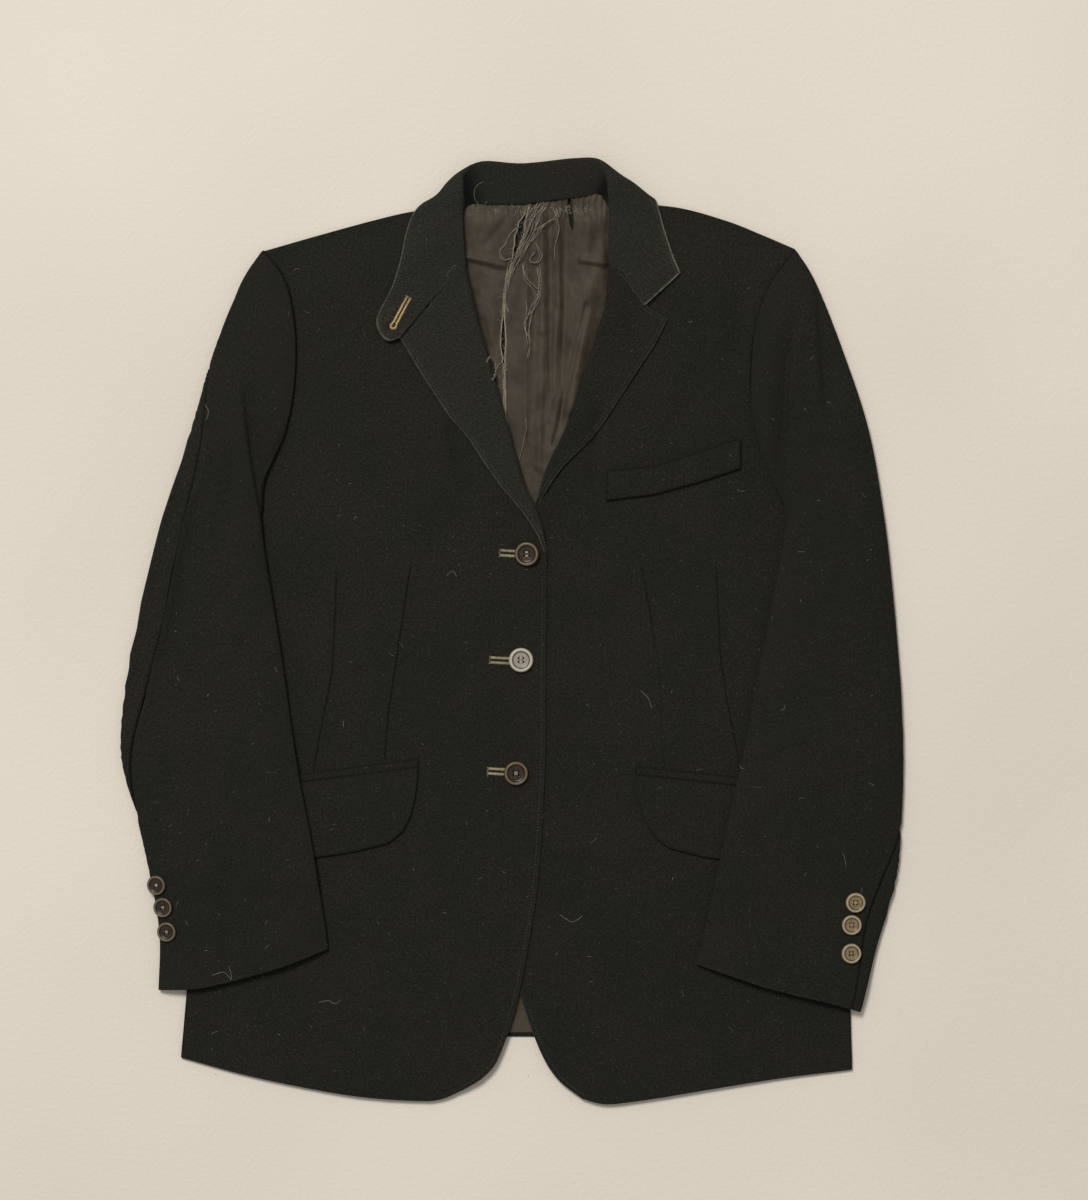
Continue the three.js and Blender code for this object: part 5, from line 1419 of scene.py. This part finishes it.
@dataclass
class Button:
    """Four-hole button: a rim round a dished middle, turned as a profile, with the holes pressed in.

    The profile goes from the middle of the upper side round the rim to the middle of the lower side. It and
    the sizes of the holes, the rim and the thread are shares of the button's radius.
    """

    node: str
    radius: float
    finish: Finish
    slot: str
    thread: Finish
    cross: bool
    # Paleness of the rim: wear and a painted highlight
    rim_wear_and_highlight: float = 0.8
    rim: tuple[float, float] = (0.84, 0.09)      # place and width of the rim, paled by wear and a painted highlight
    groove: tuple[float, float] = (0.685, 0.045)  # place and width of the turned ring with painted shade
    groove_painted_shade: float = 1.1
    hole: float = 0.1
    hole_place: float = 0.15
    hole_depth: float = 0.19
    strand: float = 0.042
    strand_lanes: tuple[float, float] = (-0.035, 0.035)
    strand_lift: float = 0.24
    strand_dip: float = 0.13
    sides: int = 64
    rings: int = 58
    upper_rings: int = 24

    PROFILE = np.array([
        (0.0, 0.21), (0.12, 0.21), (0.24, 0.21), (0.36, 0.212), (0.48, 0.215), (0.58, 0.22), (0.66, 0.25),
        (0.72, 0.30), (0.78, 0.335), (0.84, 0.345), (0.9, 0.335), (0.95, 0.30), (0.985, 0.25), (1.0, 0.19),
        (0.995, 0.12), (0.96, 0.05), (0.88, 0.01), (0.7, 0.0), (0.35, 0.0), (0.0, 0.0)])

    def build(self) -> Piece:
        """The button on the place and with the tilt of its node, and its thread. Its first and last ring are
        narrow, and closed by faces.
        """
        axes = self.seat(np.array([v.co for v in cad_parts[self.node].data.vertices]) / MM)
        out, up = spaced(self.PROFILE, self.rings)[1:-1].T
        turn = np.arange(self.sides) * math.tau / self.sides
        x, y = (np.outer(out, wave(turn)) * self.radius for wave in (np.cos, np.sin))
        z = np.repeat(up[:, None] * self.radius, self.sides, axis=1)
        upper = (np.arange(1, self.rings - 1) < self.upper_rings)[:, None]
        # Painted shade in the turned ring, and below in the holes
        groove = self.groove_painted_shade * bell(out - self.groove[0], self.groove[1])
        painted_hollow_shade = groove[:, None] * upper * np.ones_like(x)
        place, hole = self.hole_place * self.radius, self.hole * self.radius
        for sx, sy in ((1, 1), (1, -1), (-1, 1), (-1, -1)):
            near = np.hypot(x - sx * place, y - sy * place)
            z = z - upper * self.hole_depth * self.radius * np.exp(-((near / hole) ** 6))
            painted_hollow_shade = painted_hollow_shade + np.exp(-((near / (1.15 * hole)) ** 6)) * upper
        centre, side, lay, axis = axes
        points = (centre + x[..., None] * side + y[..., None] * lay + z[..., None] * axis).reshape(-1, 3)
        faces = np.concatenate([rings(len(out), self.sides)[:, ::-1], cap(self.sides),
                                cap(self.sides)[:, ::-1] + (len(out) - 1) * self.sides])
        rim = bell(out - self.rim[0], self.rim[1])[:, None] * (up[:, None] > 0.15)
        # Above zero the rim is paled by wear and a painted highlight; below zero it is painted shade
        wear = (self.rim_wear_and_highlight * rim - np.minimum(painted_hollow_shade, 1.0)).ravel()
        mesh = Mesh(points, faces, points[:, :2], wear)
        piece = mesh.place(self.node + "_horn", self.finish, self.slot, [self.node])
        self.sew(*axes, place)
        return piece

    def seat(self, points: Array) -> tuple[Array, Array, Array, Array]:
        """Middle of the button's flat back, two directions across it and its axis, from the node's points:
        the axis is the direction in which they spread least.
        """
        middle = (points.min(0) + points.max(0)) / 2.0
        _, _, axes = np.linalg.svd(points - points.mean(0), full_matrices=False)
        axis = axes[2] * np.sign(axes[2][2])
        side = unit(np.cross(np.array([0.0, 1.0, 0.0]), axis))
        return middle + axis * ((points - middle) @ axis).min(), side, np.cross(axis, side), axis

    def sew(self, centre: Array, side: Array, lay: Array, axis: Array, spread: float) -> None:
        """Two strands from hole to hole, level or crossed."""
        share = np.linspace(-1.0, 1.0, 7)
        ends = ((1, 1, -1, -1), (1, -1, -1, 1)) if self.cross else ((1, 1, -1, 1), (1, -1, -1, -1))
        paths = []
        for lane in self.strand_lanes:
            for x0, y0, x1, y1 in ends:
                a = (mix(x0, x1, (share + 1) / 2) * spread)[:, None] * side
                b = (mix(y0, y1, (share + 1) / 2) * spread + lane * self.radius)[:, None] * lay
                lift = (self.strand_lift - self.strand_dip * share ** 6)[:, None] * self.radius * axis
                paths.append(centre + a + b + lift)
        mesh = tubes(np.array(paths), self.strand * self.radius, 4)
        mesh.place(self.node + "_thread", self.thread, self.slot)


def resampled(path: Array, step: float) -> Array:
    """A path's points again, evenly spaced along it."""
    length = np.concatenate([[0.0], np.cumsum(np.linalg.norm(np.diff(path, axis=0), axis=-1))])
    at = np.linspace(0.0, length[-1], max(2, round(length[-1] / step) + 1))
    return np.stack([np.interp(at, length, path[:, i]) for i in range(path.shape[1])], axis=-1)


def rounded_path(points: Sequence[Sequence[float]], step: float) -> Array:
    """Evenly spaced plan points on a smooth curve through some points."""
    table = Table("x y", tuple(tuple(p) for p in points))
    return resampled(table.point("", np.linspace(0.0, 1.0, 12 * len(points))), step)


def inset(path: Array, distance: float) -> Array:
    """A plan path moved to its left by a distance, or to its right where that is negative."""
    along = unit(np.gradient(path, axis=0))
    return path + distance * np.stack([-along[:, 1], along[:, 0]], axis=-1)


@dataclass
class Stitching:
    """Topstitching along the turned edges: short threads that dip into the cloth at both ends."""

    drape: Drape
    pitch: float = 2.5
    length: float = 1.6
    radius: float = 0.22
    # Places along the front edges and the collar's edge, from 0 to 1, where rows start or end
    right_start: float = 8.6 / 18
    left_start: float = 15.1 / 18
    collar_stops: tuple[float, float] = (0.42, 0.74)

    def stitches(self, path: Array) -> Mesh:
        """A row of stitches along a plan path: each is a low arch of five points."""
        places = resampled(path, self.pitch)
        middle = (places[1:] + places[:-1]) / 2.0
        along = unit(np.diff(places, axis=0))
        share = np.linspace(-0.5, 0.5, 5)
        plan = middle[:, None, :] + share[None, :, None] * self.length * along[:, None, :]
        points = self.drape.onto(plan, 0.16 - 0.34 * (2.0 * np.abs(share)) ** 3)
        return tubes(points, self.radius, 4)

    def build(self) -> Piece:
        """All the rows, as one piece."""
        place = np.linspace(0.0, 1.0, 240)
        right_edge = RIGHT_FRONT.point("edge", mix(self.right_start, 1.0, place))
        left_edge = LEFT_FRONT.point("edge", mix(self.left_start, 1.0, place))
        collar = np.stack([COLLAR.rounded("edgeX", place), COLLAR.rounded("edgeY", place)], axis=-1)
        first, last = self.collar_stops
        rows = [
            inset(right_edge, -STITCH_INSET), inset(left_edge, STITCH_INSET),
            inset(collar[place < first], -STITCH_INSET), inset(collar[place > last], -STITCH_INSET)]
        for lines, towards in ((RIGHT_LAPEL, 1.0), (LEFT_LAPEL, -1.0)):
            edge = np.stack([lines.column("edge"), lines.column("y")], axis=-1)
            rows.append(inset(resampled(edge, 1.0), towards * STITCH_INSET))
        mesh = Mesh.joined([self.stitches(path) for path in rows])
        return mesh.place("edge_topstitching", Finish.EDGE_THREAD, "wool")


@dataclass
class Buttonhole:
    """A worked buttonhole: a bar of close stitches on each side of the slit and a bar tack at its end, or an
    eyelet at the other end of a keyhole.
    """

    name: str
    start: tuple[float, float]
    end: tuple[float, float]
    finish: Finish
    slot: str
    drape: Drape
    half_width: float = 3.1
    slit: float = 0.8
    pitch: float = 0.6
    radius: float = 0.38
    eyelet: float = 0.0
    scatter: float = 0.12
    tack_width: float = 1.05   # of the bar tack, in half widths
    tack_stitches: int = 5

    def build(self) -> Piece:
        """Each stitch is a short arch across the bar, from the slit outwards."""
        start, end = np.array(self.start), np.array(self.end)
        length = np.linalg.norm(end - start)
        along = (end - start) / length
        side = np.array([-along[1], along[0]])
        draw = np.random.default_rng(7)
        tack = self.half_width * self.tack_width
        roots, tips = [], []
        for at in np.arange(0.0, length - self.eyelet, self.pitch):
            for hand in (-1.0, 1.0):
                shift, longer = draw.normal(0.0, self.scatter, 2)
                roots.append(start + along * (at + shift) + side * hand * self.slit)
                tips.append(start + along * (at + shift) + side * hand * (self.half_width + longer))
        for lane in np.linspace(-0.9, 0.9, self.tack_stitches):
            roots.append(start - along * (0.5 + 0.1 * lane) + side * lane * tack)
            tips.append(start - along * (1.5 - 0.1 * lane) + side * lane * tack)
        if self.eyelet:
            middle = end - along * self.eyelet * 0.4
            for turn in np.arange(-2.3, 2.35, 0.32):
                ray = along * math.cos(turn) + side * math.sin(turn)
                roots.append(middle + ray * self.eyelet * 0.35)
                tips.append(middle + ray * self.eyelet)
        share = np.linspace(0.0, 1.0, 5)
        plan = mix(np.array(roots)[:, None, :], np.array(tips)[:, None, :], share[None, :, None])
        points = self.drape.onto(plan, 0.1 + 0.42 * np.sin(math.pi * share) ** 0.6)
        return tubes(points, self.radius, 4).place(self.name, self.finish, self.slot)


PHOTO_SCALE = 0.8              # millimetres for each pixel of the photograph
PHOTO_ORIGIN = (511.5, 631.0)  # the pixel at the origin
PHOTO_SIZE = (1088, 1200)
# Buttonholes of the right front, in pixels: name, level, outer and inner end, which lies a little lower
FRONT_BUTTONHOLES = (("top", 553, 501, 535), ("middle", 660, 491, 528), ("low", 771, 489, 524))
BUTTONHOLE_DROP = 2
TAB_BUTTONHOLE = ((408.5, 299), (393, 328))


def px(x: float, y: float) -> tuple[float, float]:
    """Plan point in millimetres of a pixel of the photograph, counted from its upper left corner."""
    return (x - PHOTO_ORIGIN[0]) * PHOTO_SCALE, (PHOTO_ORIGIN[1] - y) * PHOTO_SCALE


def bows(draw: np.random.Generator, start: Array, turn: Array, size: Array, bend: float) -> Array:
    """Plan points of short hairs, each a bow of six points.

    Args:
        draw: the random draws.
        start: where each hair starts.
        turn: which way it goes there.
        size: its length.
        bend: how far it usually turns from its start to its end, in radians.

    Returns:
        Points as hairs, points along each, and coordinates.
    """
    share = np.linspace(0, 1, 6)
    swing = turn[:, None] + share[None, :] * draw.normal(0.0, bend, (len(start), 1))
    step = np.stack([np.cos(swing), np.sin(swing)], axis=-1) * (size / 5.0)[:, None, None]
    return start[:, None, :] + np.cumsum(step, axis=1)


@dataclass
class FrayedThreads:
    """Threads that hang out of the torn lining: strands that follow a few routes, each with its own bends."""

    drape: Drape
    radius: float = 0.25
    length: int = 26
    seam_ends: int = 90
    tear_ends: int = 70
    stiffness: int = 2      # points on both sides whose highest cloth carries a strand
    lift: float = 0.35

    # Number of strands, how far they spread, and the pixels of the photograph that they pass
    ROUTES = (
        (7, 2.0, ((542, 204), (534, 216), (529, 231), (521, 245), (514, 259), (509, 272), (507, 288))),
        (4, 1.8, ((546, 205), (537, 221), (533, 238), (525, 252), (517, 262), (511, 276))),
        (2, 0.8, ((520, 226), (511, 233), (505, 244), (500, 251), (504, 260), (511, 257))),
        (3, 1.2, ((558, 209), (557, 218), (547, 223), (538, 233), (531, 243))),
        (1, 0.8, ((558, 218), (558, 233), (555, 247), (556, 261))),
        (2, 1.0, ((536, 244), (541, 254), (538, 263), (531, 261), (534, 253))),
        (3, 1.4, ((524, 262), (527, 276), (534, 287), (538, 297), (532, 308), (528, 323))),
        (3, 1.4, ((536, 264), (540, 280), (538, 297), (530, 314), (527, 331), (529, 344))),
        (2, 1.0, ((525, 300), (527, 312), (524, 326), (531, 342), (528, 358))),
        (2, 0.8, ((487, 364), (490, 358), (495, 363), (496, 373), (492, 381))),
        (2, 0.8, ((493, 378), (498, 368), (503, 361), (505, 354))),
        (1, 0.3, ((478, 206), (474, 195), (477, 186), (484, 182))),
        (1, 0.6, ((526, 418), (525, 432), (523, 446), (520, 460))),
        (2, 1.0, ((508, 268), (507, 280), (506, 296), (508, 312))))

    def build(self) -> Piece:
        """The strands, and a fringe of broken ends along the neck seam and the tear."""
        draw = np.random.default_rng(19)
        paths = []
        for strands, spread, points in self.ROUTES:
            route = rounded_path([px(*p) for p in points], 1.0)
            for _ in range(strands):
                wander = spaced(draw.normal(0.0, spread, (5, 2)), self.length)
                ripple = 0.5 * np.sin(np.linspace(0, draw.uniform(9, 16), self.length) + draw.uniform(0, 6))
                paths.append(spaced(route, self.length) + wander + ripple[:, None] * draw.normal(0.0, 0.8, 2))
        points = self.drape.onto(np.array(paths))
        # A strand is stiffer than the folds it crosses: it follows the highest cloth within a few points
        padded = np.pad(points[..., 2], ((0, 0), (self.stiffness, self.stiffness)), mode="edge")
        shifted = [padded[:, k:k + self.length] for k in range(2 * self.stiffness + 1)]
        points[..., 2] = np.max(shifted, axis=0)
        rise = np.abs(np.sin(np.linspace(0, 2.2, self.length)))[None, :]
        points[..., 2] += self.lift + rise * draw.uniform(0.2, 1.3, (len(paths), 1))
        strands = tubes(points, draw.uniform(0.7, 1.25, len(paths)) * self.radius)
        mesh = Mesh.joined([strands, self.broken_ends(draw)])
        return mesh.place("lining_frayed_threads", Finish.FRAYED_THREAD, "lining")

    def broken_ends(self, draw: np.random.Generator) -> Mesh:
        """Short ends along the neck seam, which hang down, and along the tear, which lie any way."""
        seam = [draw.uniform(-34, 66, self.seam_ends), draw.uniform(337, 342, self.seam_ends)]
        level = draw.uniform(190, 335, self.tear_ends)
        aside = draw.uniform(-1, 1, self.tear_ends) * 1.6
        torn = np.stack([TEAR.at_level("x", level) + aside, level], axis=-1)
        start = np.concatenate([np.stack(seam, axis=-1), torn])
        count = len(start)
        down, any_way = draw.normal(-math.pi / 2, 0.7, count), draw.uniform(0, 6.28, count)
        turn = np.where(np.arange(count) < self.seam_ends, down, any_way)
        plan = bows(draw, start, turn, draw.uniform(2.0, 7.0, count), 1.1)
        lift = 0.2 + 0.5 * np.linspace(0, 1, 6)[None, :] * draw.uniform(0, 1, (count, 1))
        return tubes(self.drape.onto(plan, lift), draw.uniform(0.14, 0.24, count))


@dataclass
class Lint:
    """Hairs and fluff that cling to the wool, as on the real coat."""

    drape: Drape
    count: int = 150
    lift: float = 0.12
    long_lift: float = 0.2
    long_radius: float = 0.15
    margin: float = 8.0        # from the outer edges of the sleeves
    lining_sides: tuple[float, float] = (-46.0, 84.0)
    lining_low: float = 100.0

    # Pixels of the photograph that the longer hairs pass
    ROUTES = (
        ((318, 1003), (328, 1001), (335, 1004), (341, 1000)), ((205, 404), (209, 412), (207, 420)),
        ((212, 975), (224, 972), (232, 979), (229, 965)), ((446, 576), (453, 571), (457, 577)),
        ((560, 915), (572, 922), (583, 916)), ((640, 690), (648, 698), (652, 709)))

    def build(self) -> Piece:
        """Short bows where the wool lies, and a few longer hairs on routes of their own."""
        draw = np.random.default_rng(2)
        inside = []
        while len(inside) < self.count:
            x, y = draw.uniform(-300, 300), draw.uniform(-360, 330)
            edge = (RIGHT_SLEEVE if x < 0 else LEFT_SLEEVE).at_level("outerX", y, "outerY")
            on_lining = self.lining_sides[0] < x < self.lining_sides[1] and y > self.lining_low
            if abs(x) < abs(edge) - self.margin and not on_lining:
                inside.append((x, y))
        turn = draw.uniform(0, math.tau, self.count)
        plan = bows(draw, np.array(inside), turn, 1.2 + draw.gamma(1.5, 1.5, self.count), 1.6)
        hairs = tubes(self.drape.onto(plan, self.lift), draw.uniform(0.07, 0.13, self.count))
        routes = [Table("x y", tuple(px(*p) for p in route)).point("", np.linspace(0, 1, 14))
                  for route in self.ROUTES]
        longer = tubes(self.drape.onto(np.array(routes), self.long_lift), self.long_radius)
        return Mesh.joined([hairs, longer]).place("clinging_lint", Finish.LINT, "wool")


@dataclass
class Studio:
    """Pale floor, soft light and the camera straight above."""

    distance: float = 3.0
    top: float = 0.008
    sensor: float = 24.0
    half_floor: float = 3000.0
    floor_low: float = -12.0
    world_light: float = 0.4
    lamp_watts: float = 425.0
    lamp_size: float = 2.2
    lamp_place: tuple[float, float, float] = (-2.0, 3.6, 6.2)

    def floor(self) -> None:
        """A board under the coat."""
        corner = np.array([(-1, -1), (1, -1), (1, 1), (-1, 1)]) * self.half_floor
        points = np.concatenate([np.c_[corner, np.zeros(4)], np.c_[corner, np.full(4, self.floor_low)]])
        faces = np.array([(0, 1, 2, 3), (7, 6, 5, 4), (0, 4, 5, 1), (1, 5, 6, 2), (2, 6, 7, 3), (3, 7, 4, 0)])
        mesh = bpy.data.meshes.new("floor_board")
        mesh.from_pydata((points * MM).tolist(), [], faces.tolist())
        mesh.materials.append(PaintedBoard("painted_board", "dcd4c8", "d5cdc1").build())
        board = bpy.data.objects.new("floor_board", mesh)
        bpy.context.scene.collection.objects.link(board)

    def lights(self) -> None:
        """A wide lamp from above the collar and an even surrounding light."""
        world = bpy.data.worlds.new("studio")
        bpy.context.scene.world = world
        world.use_nodes = True
        background = world.node_tree.nodes["Background"]
        background.inputs[0].default_value = (1.0, 0.985, 0.96, 1.0)
        background.inputs[1].default_value = self.world_light
        lamp = bpy.data.lights.new("soft_lamp", "AREA")
        lamp.energy, lamp.size, lamp.shape = self.lamp_watts, self.lamp_size, "SQUARE"
        lamp.color = (1.0, 0.985, 0.955)
        where = Vector(self.lamp_place)
        carrier = bpy.data.objects.new("soft_lamp", lamp)
        carrier.location = where
        carrier.rotation_euler = (-where).to_track_quat("-Z", "Y").to_euler()
        bpy.context.scene.collection.objects.link(carrier)

    def camera(self) -> None:
        """Looks straight down with the collar at the top and takes in the photograph's frame."""
        data = bpy.data.cameras.new("camera_above")
        data.sensor_fit = "VERTICAL"
        data.sensor_height = self.sensor
        data.lens = self.distance * self.sensor / (PHOTO_SIZE[1] * PHOTO_SCALE * MM)
        data.clip_end = 20.0
        x, y = px(PHOTO_SIZE[0] / 2, PHOTO_SIZE[1] / 2)
        camera = bpy.data.objects.new("camera_above", data)
        camera.location = (x * MM, y * MM, self.distance + self.top)
        bpy.context.scene.collection.objects.link(camera)
        bpy.context.scene.camera = camera
        bpy.context.scene.view_settings.view_transform = "Standard"

    def build(self) -> None:
        """All of it."""
        self.camera()
        self.floor()
        self.lights()


def pocket_pieces() -> list[PocketPiece]:
    """The breast welt and the hip pockets' jettings and flaps."""
    right, left = FORM.right_front_top, FORM.left_front_top
    return [
        PocketPiece("breast_welt_cloth", "breast_welt", BREAST_WELT, left, WELT_CLOTH,
                    Cut(0.112, 0.027, 0.0028), "front_left"),
        PocketPiece("jetting_cloth_right", "pocket_jetting_right", RIGHT_JETTING, right, JETTING_CLOTH,
                    Cut(0.15, 0.01, 0.00105), "front_right", columns=12),
        PocketPiece("jetting_cloth_left", "pocket_jetting_left", LEFT_JETTING, left, JETTING_CLOTH,
                    Cut(0.152, 0.01, 0.00105), "front_left", columns=12),
        PocketPiece("flap_cloth_right", "pocket_flap_right", RIGHT_FLAP, right, FLAP_CLOTH,
                    Cut(0.148, 0.068, 0.0088), "front_right"),
        PocketPiece("flap_cloth_left", "pocket_flap_left", LEFT_FLAP, left, FLAP_CLOTH,
                    Cut(0.152, 0.068, 0.009), "front_left")]


def buttons() -> list[Button]:
    """Three front buttons and three on each cuff."""
    fronts = [Button(f"front_button_{name}", FRONT_BUTTON_RADIUS, finish, slot, thread, cross)
              for name, finish, slot, thread, cross in (
                  ("top", Finish.DARK_BUTTON, "dark_button", Finish.HOLE_THREAD, False),
                  ("middle", Finish.GREY_BUTTON, "grey_button", Finish.PALE_THREAD, False),
                  ("low", Finish.DARK_BUTTON, "dark_button", Finish.HOLE_THREAD, True))]
    cuffs = [Button(f"cuff_button_{side}_{number}", CUFF_BUTTON_RADIUS, finish, slot, Finish.HOLE_THREAD,
                    True)
             for side, finish, slot in (
                 ("right", Finish.DARK_BUTTON, "dark_button"), ("left", Finish.TAN_BUTTON, "grey_button"))
             for number in (1, 2, 3)]
    return fronts + cuffs


def cloth_pieces() -> list[Piece]:
    """All that is cut from cloth, from the back up."""
    cloth = [Back().build(), *NeckLining().build(), hem_lining()]
    cloth.append(Front("left", LEFT_FRONT, LEFT_SHOULDER, LEFT_HEM, LEFT_DARTS, FORM.left_front_top,
                       Cut(0.30, 0.73, 0.154)).build())
    cloth.append(Front("right", RIGHT_FRONT, RIGHT_SHOULDER, RIGHT_HEM, RIGHT_DARTS, FORM.right_front_top,
                       Cut(0.30, 0.72, 0.159)).build())
    cloth += [piece.build() for piece in pocket_pieces()]
    cloth.append(Lapel("left", LEFT_LAPEL, FORM.left_front_top, Finish.WOOL, "wool",
                       Cut(0.07, 0.19, 0.0068), 0.75).build())
    cloth.append(Lapel("right", RIGHT_LAPEL, FORM.right_front_top, Finish.COLLAR_WOOL, "collar_wool",
                       Cut(0.08, 0.24, 0.0096), 0.4).build())
    cloth.append(Collar().build())
    cloth += Sleeve("right", -1.0, RIGHT_SLEEVE, RIGHT_ARMHOLE, RIGHT_CUFF, RIGHT_FRONT,
                    Cut(0.165, 0.6, 0.057), Cut(0.17, 0.6, 0.065)).build()
    cloth += Sleeve("left", 1.0, LEFT_SLEEVE, LEFT_ARMHOLE, LEFT_CUFF, LEFT_FRONT,
                    Cut(0.17, 0.61, 0.0645), Cut(0.165, 0.61, 0.0615)).build()
    return cloth


def buttonholes(drape: Drape) -> list[Buttonhole]:
    """Those of the right front, and the keyhole in the collar's tab."""
    holes = [Buttonhole(f"front_buttonhole_{name}", px(start, level), px(end, level + BUTTONHOLE_DROP),
                        Finish.HOLE_THREAD, "wool", drape) for name, level, start, end in FRONT_BUTTONHOLES]
    start, end = (px(*point) for point in TAB_BUTTONHOLE)
    return [*holes, Buttonhole("throat_tab_keyhole", start, end, Finish.GOLD_THREAD, "collar_wool", drape,
                               half_width=2.4, slit=0.5, radius=0.42, eyelet=3.2)]


def main() -> None:
    """Builds the coat from the back up, then what is sewn on it and what clings to it."""
    logging.basicConfig(level=logging.INFO, format="%(message)s")
    Studio().build()
    drape = Drape(cloth_pieces())
    for part in (Stitching(drape), *buttonholes(drape), *buttons(), FrayedThreads(drape), Lint(drape)):
        part.build()


if __name__ == "__main__":
    main()
